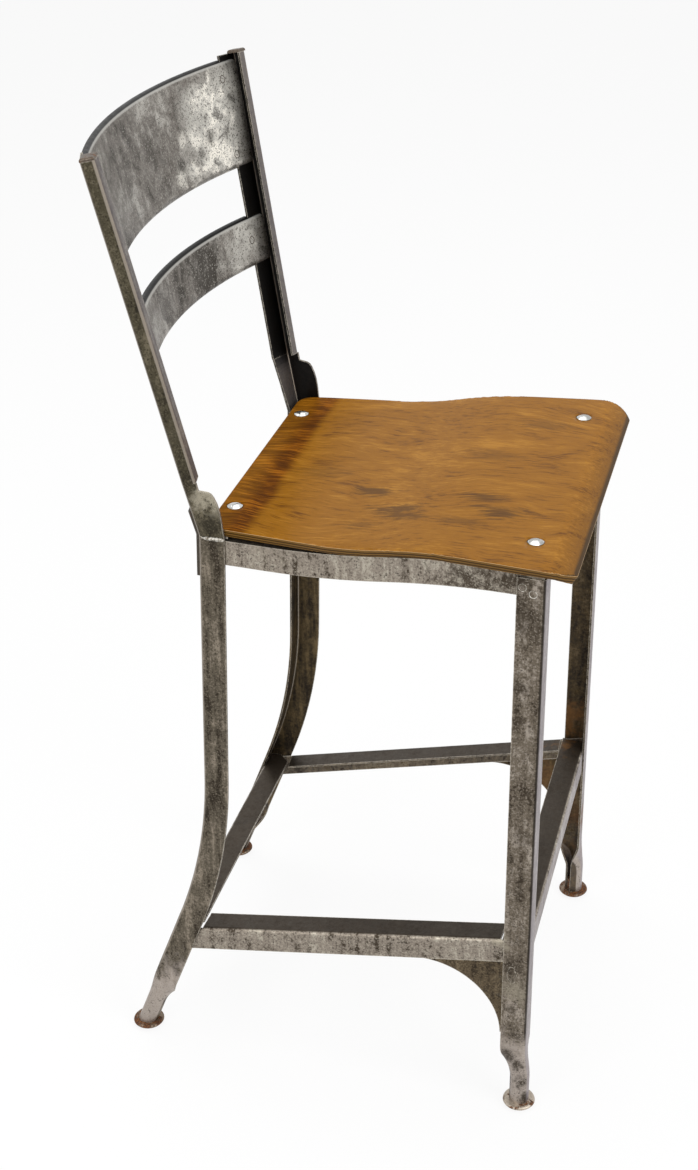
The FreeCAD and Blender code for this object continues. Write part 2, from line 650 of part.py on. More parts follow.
# Back post, right side: a channel with a deep rear flange, flared out below
# to the leg's angle and welded on its top.
post_way = V(-size("post_splay_share"), size("post_rake_share"), 1)
post_way.normalize()
web_way = level(V(-size("post_turn_share"), 1, 0), post_way)
web_in = level(V(1, size("post_turn_share"), 0), post_way)
rear_flange_way = level(V(1, size("post_seat_share"), 0), post_way)
post_base = rear_corner(size("rear_leg_top"))


def post_corner(height):
    """Outer back corner of the post at a height."""
    return post_base + post_way * ((height - post_base.z) / post_way.z)


rear_turn = math.pi - (web_way * -1).getAngle(rear_flange_way)
rear_tangent = bend * math.tan(rear_turn / 2)
rear_fold = (bend - gauge / 2) * rear_turn
front_turn = math.pi / 2
front_fold = (bend - gauge / 2) * front_turn
web_run = size("post_web") - bend - rear_tangent


def post_section(height):
    """Full channel: front flange, web and rear flange."""
    middle = (post_corner(height) - web_way * (rear_tangent + web_run / 2)
              + web_in * (gauge / 2))
    runs = [(size("post_front_flange") - bend, 0), (front_fold, front_turn), (web_run, 0),
            (rear_fold, rear_turn), (size("post_rear_flange") - rear_tangent, 0)]
    return strip_wire(runs, gauge, 2, middle, web_way, web_in)


def flare_frame(share):
    """Corner, two flange directions and axis at a share of the flare."""
    high = post_corner(size("post_flange_end"))
    axis_low = rear_axis(size("rear_leg_top")) * -1
    axis = post_way * (1 - share) + axis_low * share
    axis.normalize()
    a = level(web_way * (share - 1) + rear_leg.side_way * share, axis)
    b = level(rear_flange_way * (1 - share) + rear_leg.cross_way * share, axis)
    return high + (post_base - high) * share, a, b, axis


def flare_section(share, width_share):
    """Angle section of the flare, from the post's web to the leg's angle."""
    corner, a, b, axis = flare_frame(share)
    turn = math.pi - a.getAngle(b)
    tangent = bend * math.tan(turn / 2)
    inward = a + b
    inward.normalize()
    along = b - a
    along.normalize()
    middle = corner + inward * (bend / math.cos(turn / 2) - bend + gauge / 2)
    arm = size("post_web") + (flange - size("post_web")) * width_share - tangent
    wing = size("post_rear_flange") * (1 - share) + flange * share - tangent
    runs = [(arm, 0), ((bend - gauge / 2) * turn, turn), (wing, 0)]
    return strip_wire(runs, gauge, 1, middle, along, inward)


post_end = size("post_top") - size("cap_height")
channel = Part.makeLoft(
    [post_section(size("post_flange_end")), post_section(post_end)], True, True)
# Share of the way down the flare, and share of the added width there.
flare_shares = ((0.0, 0.0), (0.14, 0.0), (0.16, 0.3), (0.185, 0.66), (0.22, 0.86), (0.28, 0.98),
                (0.38, 1.09), (0.5, 1.14), (0.65, 1.12), (0.82, 1.05), (1.0, 1.0))
flare = [flare_section(share, width) for share, width in flare_shares]
flare_solid = Part.makeLoft(flare, True, True)
shape = join([channel, flare_solid])
right_back_post = solid_piece(shape, "RightBackPost", "right_back_post")

# Cap that closes the post's channel.
def cap_wire(height, inset):
    corner = post_corner(height)
    back = corner - web_way * inset + web_in * inset
    front = corner - web_way * (size("post_web") - inset) + web_in * inset
    reach = size("post_front_flange") - 2 * inset
    spots = [back, front, front + web_in * reach, back + web_in * reach, back]
    return Part.makePolygon(spots)


cap_solid = Part.makeLoft([cap_wire(post_end, 0), cap_wire(size("post_top"), 0)], True, True)
cap_top = post_corner(size("post_top"))
cap_edges = [edge for edge in cap_solid.Edges
             if (edge.CenterOfMass - cap_top).dot(post_way) > -size("cap_height") / 4]
cap_solid = cap_solid.makeFillet(size("cap_height") * 0.7, cap_edges).Solids[0]
right_post_cap = solid_piece(cap_solid, "RightPostCap", "right_post_cap")

# Slats: a rolled-edge strip turned about an upright axis between the posts,
# with straight ends that lie on the front of the posts' rear flanges.
seat_slope = size("post_seat_share")
plan_out = V(1, seat_slope, 0)
plan_out.normalize()
face_normal = rear_flange_way.cross(post_way)
face_normal.normalize()
if face_normal.y > 0:
    face_normal = face_normal * -1
plan_back = V(-plan_out.y, plan_out.x, 0)
lean_share = -face_normal.z / face_normal.dot(plan_back)


def slat(bottom, top, top_roll, name, label):
    thin = size("slat_gauge")
    roll = size("slat_roll")
    lean = V(plan_back.x * lean_share, plan_back.y * lean_share, 1)
    lean.normalize()
    middle = (bottom + top + (roll - top_roll) * lean.z) / 2
    face = post_corner(middle) + face_normal * gauge
    face -= post_way * (face_normal.z * gauge / post_way.z)
    # the straight end turns into the curve at the edge of the post's flange
    tangent_spot = face + plan_out * (size("post_rear_flange") + size("fit_gap"))
    ratio = plan_out.y
    radius = -tangent_spot.x / ratio
    hub = tangent_spot - plan_back * radius
    ahead = plan_back.cross(UP).cross(lean)
    ahead.normalize()
    if ahead.dot(plan_back) > 0:
        ahead = ahead * -1
    curl = math.pi / 2
    length = (top - bottom) / lean.z - roll - top_roll
    runs = [((roll - thin / 2) * curl, curl), (length, 0), ((top_roll - thin / 2) * curl, curl)]
    centre = tangent_spot + ahead * (thin / 2)
    wire = strip_wire(runs, thin, 1, centre, lean, ahead * -1)
    profile = Part.Face(wire)
    angle = 2 * math.degrees(math.asin(ratio))
    arc = profile.revolve(V(0, hub.y, 0), UP, -angle)
    end_length = abs(post_corner(size("post_top")).x) + tangent_spot.x
    left_end = profile.extrude(plan_out * -end_length)
    right_end = left_end.mirror(V(0, 0, 0), V(1, 0, 0))
    band = join([arc, left_end, right_end])
    # the rolled edges stop at the posts' rear flanges
    low_spot = face - post_way * (top - bottom) - rear_flange_way * size("bend_radius")
    across = rear_flange_way * (size("post_rear_flange") + size("bend_radius")
                                + size("fit_gap"))
    behind = face_normal * (-2 * top_roll)
    corners = [low_spot, low_spot + across, low_spot + across + behind,
               low_spot + behind, low_spot]
    notch = Part.Face(Part.makePolygon(corners)).extrude(post_way * (2 * (top - bottom)))
    band = band.cut(notch).cut(notch.mirror(V(0, 0, 0), V(1, 0, 0)))
    box = band.BoundBox
    gap = size("slat_end_gap") + gauge

    def edge_x(height):
        spot = post_corner(height) + web_in * gap
        return -spot.x

    low, high = box.ZMin, box.ZMax
    corners = [V(-edge_x(low), 0, low), V(edge_x(low), 0, low),
               V(edge_x(high), 0, high), V(-edge_x(high), 0, high)]
    spots = []
    cut = size("slat_corner")
    edges = []
    for index in range(4):
        here = corners[index]
        before = corners[index - 1] - here
        after = corners[(index + 1) % 4] - here
        opening = before.getAngle(after)
        before.normalize()
        after.normalize()
        tangent = cut / math.tan(opening / 2)
        inner = before + after
        inner.normalize()
        centre = here + inner * (cut / math.sin(opening / 2))
        spots.append((here + before * tangent, centre - inner * cut, here + after * tangent))
    for index in range(4):
        start, middle_spot, stop = spots[index]
        edges.append(Part.Arc(start, middle_spot, stop).toShape())
        edges.append(Part.LineSegment(stop, spots[(index + 1) % 4][0]).toShape())
    template = Part.Face(Part.Wire(edges))
    depth = box.YLength + 2 * overrun
    template.translate(V(0, box.YMin - overrun, 0))
    blank = template.extrude(V(0, depth, 0))
    shape = band.common(blank).removeSplitter().Solids[0]
    return solid_piece(shape, name, label)


slat(size("upper_slat_bottom"), size("upper_slat_top"), size("slat_roll"),
     "UpperSlat", "upper_slat")
slat(size("lower_slat_bottom"), size("lower_slat_top"), size("lower_slat_roll"),
     "LowerSlat", "lower_slat")


# Splice strap on the back of the rear flanges, across the joint of leg and post.
def strap_wire(corner, b, axis):
    rear = axis.cross(b)
    if rear.y < 0:
        rear = rear * -1
    near = corner + b * bend - rear * size("weld_nip")
    far = near + b * size("strap_width")
    back = rear * (size("strap_gauge") + size("weld_nip"))
    return Part.makePolygon([near, far, far + back, near + back, near])


strap_wires = []
low_height = size("rear_leg_top") - size("strap_below")
for height in (low_height, size("rear_leg_top")):
    way = rear_axis(height) * -1
    a, b, inward, along = rear_leg.frame(way)
    strap_wires.append(strap_wire(rear_corner(height), b, way))
strap_top_share = 1 - size("strap_above") / (size("post_flange_end") - size("rear_leg_top"))
for share, width in flare_shares[::-1]:
    if strap_top_share < share < 1:
        corner, a, b, axis = flare_frame(share)
        strap_wires.append(strap_wire(corner, b, axis))
corner, a, b, axis = flare_frame(strap_top_share)
strap_wires.append(strap_wire(corner, b, axis))
strap = doc.addObject("Part::Feature", "StrapBlank")
strap.Shape = Part.makeLoft(strap_wires, True, True)
right_strap = cope(strap, [rear_right_leg, right_back_post], "RightStrap", "right_splice_strap")

# Weld bead along the outside of the joint.
a, b, inward, along = rear_leg.frame(rear_axis(size("rear_leg_top")))
bead_start = post_base + a * bend
bead = doc.addObject("Part::Feature", "BeadBlank")
bead.Shape = Part.makeCylinder(size("bead_radius"), flange - bend, bead_start, a)
right_bead = cope(bead, [rear_right_leg, right_back_post], "RightBead", "right_weld_bead")


def place(thing, x, y, z, turn=None):
    """Put a body at named sizes, turned if asked."""
    if turn is not None:
        thing.Placement = FreeCAD.Placement(V(0, 0, 0), turn)
    for axis_name, alias in (("x", x), ("y", y), ("z", z)):
        if alias != "0":
            thing.setExpression("Placement.Base." + axis_name, term(alias))


def body(name):
    return doc.addObject("PartDesign::Body", name)


# Seat panel: moulded plywood with a waterfall lip, tapered to the rear.
seat = body("SeatPanel")
profile = new_sketch(seat, "SeatProfile", "YZ_Plane")
derive("lip_tip_y", "=-lip_overhang")
doc.recompute()
outline(profile, [
    ("seat_profile_end", "seat_rear_top"),
    ("seat_fall_end", "seat_rear_top", "seat_fall_radius", -1),
    ("seat_fall_mid", "seat_fall_mid_z", "seat_fall_radius", 1),
    ("seat_fall_start", "seat_top"),
    ("-lip_start", "seat_top", "lip_radius", 1),
    ("-lip_overhang", "lip_tip_z"),
    ("-lip_under_y", "lip_under_z", "lip_under_radius", -1),
    ("-lip_start", "seat_under"),
    ("seat_fall_start", "seat_under", "seat_fall_inner", -1),
    ("seat_under_mid", "seat_under_mid_z", "seat_fall_outer", 1),
    ("seat_fall_end", "seat_rear_under"),
    ("seat_profile_end", "seat_rear_under"),
])
pad(seat, "SeatBlank", profile, "seat_blank_width", both=True)
plan = new_sketch(seat, "SeatPlan", "XY_Plane")
outline(plan, [
    ("-seat_clear_x", "-seat_clear_front"),
    ("seat_clear_x", "-seat_clear_front"),
    ("seat_clear_x", "seat_clear_rear"),
    ("-seat_clear_x", "seat_clear_rear"),
])
outline(plan, [
    ("-fc_edge_x", "-seat_front_line"),
    ("fc_edge_x", "-seat_front_line", "seat_front_corner", 1),
    ("fc_side_x", "fc_side_y"),
    ("rc_side_x", "rc_side_y", "seat_rear_corner", 1),
    ("rc_edge_x", "seat_rear_edge"),
    ("-rc_edge_x", "seat_rear_edge", "seat_rear_corner", 1),
    ("-rc_side_x", "rc_side_y"),
    ("-fc_side_x", "fc_side_y", "seat_front_corner", 1),
])
pocket(seat, "SeatEdges", plan)
doc.recompute()
rounding = seat.newObject("PartDesign::Fillet", "SeatRounding")
rounding.Base = (seat.Tip if seat.Tip != rounding else seat.Group[-2], [""])
rounding.UseAllEdges = True
rounding.setExpression("Radius", "Sizes.seat_edge_round")
holes = new_sketch(seat, "SeatHoles", "XY_Plane")
circles(holes, "screw_hole_radius", [
    ("screw_front_x", "screw_front_y"), ("-screw_front_x", "screw_front_y"),
    ("screw_rear_x", "screw_rear_y"), ("-screw_rear_x", "screw_rear_y")])
pocket(seat, "SeatDrilling", holes)
for name, lift, x, y in (("FrontSinks", "front_screw_z", "screw_front_x", "screw_front_y"),
                         ("RearSinks", "rear_screw_z", "screw_rear_x", "screw_rear_y")):
    sink = new_sketch(seat, name + "Plan", "XY_Plane", lift)
    circles(sink, "screw_seat_radius", [(x, y), ("-" + x, y)])
    doc.recompute()
    feature = seat.newObject("PartDesign::Pocket", name)
    feature.Profile = sink
    feature.Type = "ThroughAll"
    feature.Reversed = True
    sink.Visibility = False
place(seat, "0", "feet_y", "0")
keep(seat, "seat_panel")

# Truss-head seat screws and their nuts.
screw = body("SeatScrew")
profile = new_sketch(screw, "ScrewProfile", "XZ_Plane")
outline(profile, [
    ("0", "-screw_length"),
    ("screw_shank_radius", "-screw_length"),
    ("screw_shank_radius", "0"),
    ("screw_head_radius", "0"),
    ("screw_head_radius", "screw_head_edge", "screw_dome_radius", 1),
    ("0", "screw_head_height"),
])
turning = screw.newObject("PartDesign::Revolution", "ScrewTurning")
turning.Profile = profile
turning.ReferenceAxis = (profile, ["V_Axis"])
turning.Angle = 360
profile.Visibility = False
nut = doc.addObject("Part::Prism", "NutBlank")
nut.Polygon = 6
nut.setExpression("Circumradius", "Sizes.nut_radius")
nut.setExpression("Height", "Sizes.nut_height")
nut_bore = doc.addObject("Part::Cylinder", "NutBore")
nut_bore.setExpression("Radius", "Sizes.screw_hole_radius - Sizes.screw_clearance / 2")
nut_bore.setExpression("Height", "Sizes.nut_height")
nut_ring = doc.addObject("Part::Cut", "Nut")
nut_ring.Base = nut
nut_ring.Tool = nut_bore
doc.recompute()
derive("screw_front_place", "=feet_y + screw_front_y")
derive("screw_rear_place", "=feet_y + screw_rear_y")
derive("front_nut_z", "=seat_under - sheet_gauge - nut_height")
derive("rear_nut_z", "=seat_rear_under - sheet_gauge - nut_height")
doc.recompute()
for source, name, label, front_z, rear_z in (
        (screw, "SeatScrews", "seat_screws", "front_screw_z", "rear_screw_z"),
        (nut_ring, "SeatNuts", "seat_nuts", "front_nut_z", "rear_nut_z")):
    links = []
    for number, (x, y, z) in enumerate((
            ("screw_front_x", "screw_front_place", front_z),
            ("-screw_front_x", "screw_front_place", front_z),
            ("screw_rear_x", "screw_rear_place", rear_z),
            ("-screw_rear_x", "screw_rear_place", rear_z)), start=1):
        link = doc.addObject("App::Link", "%s%d" % (name, number))
        link.LinkedObject = source
        place(link, x, y, z)
        links.append(link)
    group = doc.addObject("Part::Compound", name)
    group.Links = links
    keep(group, label)


def angle_section(sketch, way=1):
    """Angle with its fold at the sketch origin: level flange toward +u (or
    -u when way is -1) and upright flange down."""
    sign = "" if way > 0 else "-"
    outline(sketch, [
        (sign + "bend_radius", "0"),
        (sign + "flange_width", "0"),
        (sign + "flange_width", "-sheet_gauge"),
        (sign + "bend_radius", "-sheet_gauge", "bend_inner", way),
        (sign + "sheet_gauge", "-bend_radius"),
        (sign + "sheet_gauge", "-flange_width"),
        ("0", "-flange_width"),
        ("0", "-bend_radius", "bend_radius", -way),
    ])


# Right side rail: upright flange with a level flange turned inboard.
right_rail = body("RightSideRail")
upright = new_sketch(right_rail, "RailUpright", "YZ_Plane")
outline(upright, [
    ("-rail_front", "seat_under"),
    ("-rail_front", "rail_bottom"),
    ("rail_fall_start", "rail_bottom", "rail_fall_radius", -1),
    ("rail_fall_mid", "rail_mid_bottom", "rail_fall_radius", 1),
    ("rail_fall_end", "rail_rear_bottom"),
    ("rail_end", "rail_rear_bottom"),
    ("rail_end", "rail_rear_top"),
    ("rail_fall_end", "rail_rear_top", "rail_fall_radius", -1),
    ("rail_fall_mid", "rail_mid_top", "rail_fall_radius", 1),
    ("rail_fall_start", "seat_under"),
])
pad(right_rail, "RailUprightPad", upright, "sheet_gauge")
level_band = new_sketch(right_rail, "RailLevel", "YZ_Plane")
outline(level_band, [
    ("rail_level_start", "seat_under"),
    ("rail_level_start", "level_front_under"),
    ("rail_fall_start", "level_front_under", "rail_fall_radius", -1),
    ("rail_fall_mid", "level_mid_under", "rail_fall_radius", 1),
    ("rail_fall_end", "level_rear_under"),
    ("rail_level_end", "level_rear_under"),
    ("rail_level_end", "rail_rear_top"),
    ("rail_fall_end", "rail_rear_top", "rail_fall_radius", -1),
    ("rail_fall_mid", "rail_mid_top", "rail_fall_radius", 1),
    ("rail_fall_start", "seat_under"),
])
pad(right_rail, "RailLevelPad", level_band, "rail_flange")
rail_yaw = FreeCAD.Rotation(UP, -math.degrees(math.atan(toe)))
place(right_rail, "-rail_plane_x", "feet_y", "0", rail_yaw)
right_side_rail = cope(right_rail, [front_right_leg, rear_right_leg, right_back_post, seat],
                       "RightRail", "right_side_rail")
left_front_leg = mirror(front_right_leg, "front_left_leg")
left_rear_leg = mirror(rear_right_leg, "rear_left_leg")
left_back_post = mirror(right_back_post, "left_back_post")
left_side_rail = mirror(right_side_rail, "left_side_rail")
mirror(right_post_cap, "left_post_cap")
mirror(right_strap, "left_splice_strap")
mirror(right_bead, "left_weld_bead")

# Front and rear rails under the seat.
front_rail = body("FrontRail")
section = new_sketch(front_rail, "FrontRailSection", "YZ_Plane")
angle_section(section)
pad(front_rail, "FrontRailPad", section, "front_rail_length", both=True)
holes = new_sketch(front_rail, "FrontRailHoles", "XY_Plane")
circles(holes, "screw_hole_radius", [
    ("screw_front_x", "front_rail_hole"), ("-screw_front_x", "front_rail_hole")])
pocket(front_rail, "FrontRailDrilling", holes)
place(front_rail, "0", "front_rail_y", "seat_under")
cope(front_rail, [front_right_leg, left_front_leg, right_side_rail, left_side_rail],
     "FrontRailCoped", "front_rail")
rear_rail = body("RearRail")
section = new_sketch(rear_rail, "RearRailSection", "YZ_Plane")
angle_section(section, -1)
pad(rear_rail, "RearRailPad", section, "rear_rail_length", both=True)
holes = new_sketch(rear_rail, "RearRailHoles", "XY_Plane")
circles(holes, "screw_hole_radius", [
    ("screw_rear_x", "rear_rail_hole"), ("-screw_rear_x", "rear_rail_hole")])
pocket(rear_rail, "RearRailDrilling", holes)
place(rear_rail, "0", "rear_rail_y", "seat_rear_under")
cope(rear_rail, [rear_right_leg, left_rear_leg, right_side_rail, left_side_rail,
                 right_back_post, left_back_post], "RearRailCoped", "rear_rail")

# Right side stretcher: an angle that falls to the rear, its level flange cut
# back at both ends to clear the cross stretchers.
side_stretcher = body("RightSideStretcher")
section = new_sketch(side_stretcher, "SideSection", "XZ_Plane")
angle_section(section)
pad(side_stretcher, "SidePad", section, "side_length", backward=True)
trim = new_sketch(side_stretcher, "SideTrim", "XY_Plane")
outline(trim, [
    ("sheet_gauge", "-cut_overrun"),
    ("side_clear_x", "-cut_overrun"),
    ("side_clear_x", "side_level_front"),
    ("sheet_gauge", "side_level_front"),
])
outline(trim, [
    ("sheet_gauge", "side_level_rear"),
    ("side_clear_x", "side_level_rear"),
    ("side_clear_x", "side_clear_y"),
    ("sheet_gauge", "side_clear_y"),
])
pocket(side_stretcher, "SideTrimming", trim)
pitch = math.atan(size("side_stretcher_share") / size("stretcher_long"))
yaw = math.atan(size("stretcher_toe_share"))
turn = FreeCAD.Rotation(UP, -math.degrees(yaw)).multiply(
    FreeCAD.Rotation(V(1, 0, 0), -math.degrees(pitch)))
derive("side_base_x", "=-(stretcher_plane_x + stretcher_toe_share * stretcher_front)")
derive("side_base_z", "=side_stretcher_top + side_stretcher_share * stretcher_front")
doc.recompute()
place(side_stretcher, "side_base_x", "front_stretcher_y", "side_base_z", turn)
trimmer = doc.addObject("Part::Box", "RearTrim")
derive("trim_size", "=2 * flange_width + 2 * cut_overrun")
derive("trim_back", "=bend_end_back + rear_foot_share * bend_end - sheet_gauge / foot_cos / 2")
derive("trim_y", "=feet_y + trim_back")
derive("trim_high", "=side_stretcher_top")
derive("trim_x", "=-front_corner_x - cut_overrun")
doc.recompute()
trimmer.setExpression("Length", "Sizes.trim_size")
for side_name in ("Width", "Height"):
    trimmer.setExpression(side_name, "Sizes.trim_high")
place(trimmer, "trim_x", "trim_y", "0",
      FreeCAD.Rotation(V(1, 0, 0), math.degrees(math.atan(size("rear_foot_share")))))
front_trimmer = doc.addObject("Part::Box", "FrontTrim")
derive("front_trim_y", "=front_stretcher_y + bend_radius - trim_size")
derive("front_trim_high", "=side_base_z + cut_overrun")
doc.recompute()
for side_name in ("Length", "Width"):
    front_trimmer.setExpression(side_name, "Sizes.trim_size")
front_trimmer.setExpression("Height", "Sizes.front_trim_high")
place(front_trimmer, "trim_x", "front_trim_y", "0")
right_side_stretcher = cope(side_stretcher, [trimmer, front_trimmer, front_right_leg,
                                             rear_right_leg],
                            "RightStretcher", "right_side_stretcher")
left_side_stretcher = mirror(right_side_stretcher, "left_side_stretcher")

# Quarter-round gusset in the corner of front leg and side stretcher.
gusset = body("RightGusset")
hollow = new_sketch(gusset, "GussetOutline", "YZ_Plane")
outline(hollow, [
    ("gusset_tuck", "gusset_root_z"),
    ("gusset_tuck", "gusset_foot"),
    ("gusset_edge_y", "gusset_foot", "gusset_radius", -1),
    ("gusset_reach", "gusset_tip_z"),
])
pad(gusset, "GussetPad", hollow, "sheet_gauge")
derive("gusset_x", "=-stretcher_plane_x")
doc.recompute()
place(gusset, "gusset_x", "feet_y", "0", FreeCAD.Rotation(UP, -math.degrees(yaw)))
right_gusset = cope(gusset, [front_right_leg, right_side_stretcher], "RightGussetCoped",
                    "right_gusset")
mirror(right_gusset, "left_gusset")

# Front and rear stretchers.
front_stretcher = body("FrontStretcher")
section = new_sketch(front_stretcher, "FrontStretcherSection", "YZ_Plane")
angle_section(section)
pad(front_stretcher, "FrontStretcherPad", section, "front_stretcher_length", both=True)
place(front_stretcher, "0", "front_stretcher_y", "front_stretcher_top")
cope(front_stretcher, [front_right_leg, left_front_leg, right_side_stretcher,
                       left_side_stretcher], "FrontStretcherCoped", "front_stretcher")
rear_stretcher = body("RearStretcher")
section = new_sketch(rear_stretcher, "RearStretcherSection", "YZ_Plane")
angle_section(section, -1)
pad(rear_stretcher, "RearStretcherPad", section, "rear_stretcher_length", both=True)
clip = new_sketch(rear_stretcher, "RearStretcherClip", "XY_Plane")
outline(clip, [
    ("clip_start_x", "-clip_far_y"),
    ("clip_far_x", "-clip_far_y"),
    ("clip_far_x", "-clip_start_y"),
])
outline(clip, [
    ("-clip_start_x", "-clip_far_y"),
    ("-clip_far_x", "-clip_start_y"),
    ("-clip_far_x", "-clip_far_y"),
])
pocket(rear_stretcher, "RearStretcherClipping", clip)
place(rear_stretcher, "0", "rear_stretcher_y", "rear_stretcher_top")
cope(rear_stretcher, [rear_right_leg, left_rear_leg, right_side_stretcher,
                      left_side_stretcher], "RearStretcherCoped", "rear_stretcher")

# Domed glides, each with a sleeve that stands in the leg's tube.
for name, label, x, y, sleeve_x, sleeve_y, axis in (
        ("FrontGlide", "front_right_glide", "-front_foot_x", "feet_y",
         "-front_sleeve_x", "feet_y", front_axis),
        ("RearGlide", "rear_right_glide", "-rear_foot_x", "rear_foot_y",
         "-rear_sleeve_x", "rear_sleeve_y", foot_axis)):
    dome = body(name + "Dome")
    profile = new_sketch(dome, name + "Profile", "XZ_Plane")
    outline(profile, [
        ("0", "0"),
        ("glide_pad_radius", "0", "glide_dome_radius", 1),
        ("glide_radius", "glide_rim_height", "glide_curl", 1),
        ("glide_top_radius", "glide_height"),
        ("0", "glide_height"),
    ])
    turning = dome.newObject("PartDesign::Revolution", name + "Turning")
    turning.Profile = profile
    turning.ReferenceAxis = (profile, ["V_Axis"])
    turning.Angle = 360
    profile.Visibility = False
    place(dome, x, y, "0")
    sleeve = doc.addObject("Part::Cylinder", name + "Sleeve")
    sleeve.setExpression("Radius", "Sizes.sleeve_radius")
    sleeve.setExpression("Height", "Sizes.sleeve_length")
    place(sleeve, sleeve_x, sleeve_y, "glide_rim_height", FreeCAD.Rotation(UP, axis * -1))
    glide = doc.addObject("Part::Fuse", name)
    glide.Base = dome
    glide.Tool = sleeve
    keep(glide, label)
    mirror(glide, label.replace("right", "left"))

doc.recompute()
for thing in doc.Objects:
    if "Invalid" in thing.State or "Error" in thing.State:
        raise RuntimeError("%s failed: %s" % (thing.Label, thing.State))
names = [thing.Label for thing in pieces]
if len(set(names)) != len(names):
    raise RuntimeError("two pieces share a name")
for thing in pieces:
    if thing.Shape.isNull() or not thing.Shape.isValid() or thing.Shape.Volume <= 0:
        raise RuntimeError("%s has no valid solid" % thing.Label)

os.makedirs("parts", exist_ok=True)
for thing in pieces:
    thing.Shape.exportStep(os.path.join("parts", thing.Label + ".step"))
    print(thing.Label, len(thing.Shape.Solids), round(thing.Shape.Volume))
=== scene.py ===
import math
import random
from functools import partial

import bmesh
import bpy
from mathutils import Matrix, Vector, noise
from mathutils.bvhtree import BVHTree


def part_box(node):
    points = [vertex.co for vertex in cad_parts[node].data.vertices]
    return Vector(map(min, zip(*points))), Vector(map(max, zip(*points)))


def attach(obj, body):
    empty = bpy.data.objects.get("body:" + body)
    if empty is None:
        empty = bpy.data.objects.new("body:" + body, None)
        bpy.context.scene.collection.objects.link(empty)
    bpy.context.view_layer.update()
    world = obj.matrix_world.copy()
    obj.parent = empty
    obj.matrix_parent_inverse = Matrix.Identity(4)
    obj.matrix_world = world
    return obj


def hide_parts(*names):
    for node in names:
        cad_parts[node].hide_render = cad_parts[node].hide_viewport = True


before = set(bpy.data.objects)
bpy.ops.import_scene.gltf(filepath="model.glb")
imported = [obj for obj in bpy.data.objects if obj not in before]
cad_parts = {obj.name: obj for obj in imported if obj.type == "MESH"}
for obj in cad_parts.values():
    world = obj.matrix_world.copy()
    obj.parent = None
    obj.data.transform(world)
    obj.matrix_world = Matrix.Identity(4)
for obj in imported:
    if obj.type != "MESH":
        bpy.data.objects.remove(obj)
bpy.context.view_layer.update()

bl_info = {
    "name": "Counter stool with a backrest",
    "version": (1, 0, 0),
    "blender": (4, 5, 0),
    "location": "View3D > Sidebar > Stool",
    "description": "Finishes, seat, welds and studio of a pressed steel counter stool",
    "category": "Object",
}

MM = 0.001
BODY = "root"
FULL_TURN = 2 * math.pi

# Pieces of the frame by the finish that they share
FRONT_LEG_NODES = ("front_right_leg", "front_left_leg")
REAR_LEG_NODES = ("rear_right_leg", "rear_left_leg")
GUSSET_NODES = ("right_gusset", "left_gusset")
POST_NODES = ("right_back_post", "left_back_post")
RAIL_NODES = ("right_side_rail", "left_side_rail", "front_rail", "rear_rail")
STRETCHER_NODES = ("right_side_stretcher", "left_side_stretcher", "front_stretcher",
                   "rear_stretcher")
SLAT_NODES = ("upper_slat", "lower_slat")
CAP_NODES = ("right_post_cap", "left_post_cap")
STRAP_NODES = ("right_splice_strap", "left_splice_strap")
WORN_GLIDE_NODES = ("front_right_glide",)
GLIDE_NODES = ("front_left_glide", "rear_right_glide", "rear_left_glide")


def linear(hex_colour):
    """Linear red, green, blue and a full alpha of an sRGB hex colour."""
    channels = []
    for shift in (16, 8, 0):
        value = ((hex_colour >> shift) & 255) / 255
        curved = ((value + 0.055) / 1.055) ** 2.4
        channels.append(value / 12.92 if value <= 0.04045 else curved)
    return (*channels, 1.0)


def cells(size_mm):
    """Texture scale, in cells to the metre, of a feature's width in millimetres."""
    return 1000 / size_mm


def colour_setting(name, description, hex_colour):
    """Colour that the sidebar shows, from its sRGB hex value."""
    return bpy.props.FloatVectorProperty(
        name=name, description=description, subtype="COLOR", size=4, min=0, max=1,
        default=linear(hex_colour))


def length_setting(name, description, millimetres):
    """Length that the sidebar shows, from its millimetres."""
    return bpy.props.FloatProperty(
        name=name, description=description, subtype="DISTANCE", unit="LENGTH",
        default=millimetres * MM)


class StoolSizes(bpy.types.PropertyGroup):
    """Sizes of the pieces that are added to the frame."""

    spot_radius: length_setting("Spot weld radius", "Ring that a spot weld leaves", 3.5)
    spot_rim: length_setting("Spot weld rim", "Ring's height above the sheet", 0.42)
    seam_radius: length_setting("Seam radius", "Radius of the splice's weld seam", 1.9)
    scar_width: length_setting("Scar width", "Width of a front leg's weld scar", 9.5)
    scar_height: length_setting("Scar height", "Height of a front leg's weld scar", 21)
    scar_rise: length_setting("Scar rise", "Weld scar's height above the leg", 0.9)
    ply_count: bpy.props.IntProperty(
        name="Plies", description="Layers of veneer in the seat", default=7,
        min=3, max=11)
    floor_size: length_setting("Floor size", "Side of the studio floor", 14000)


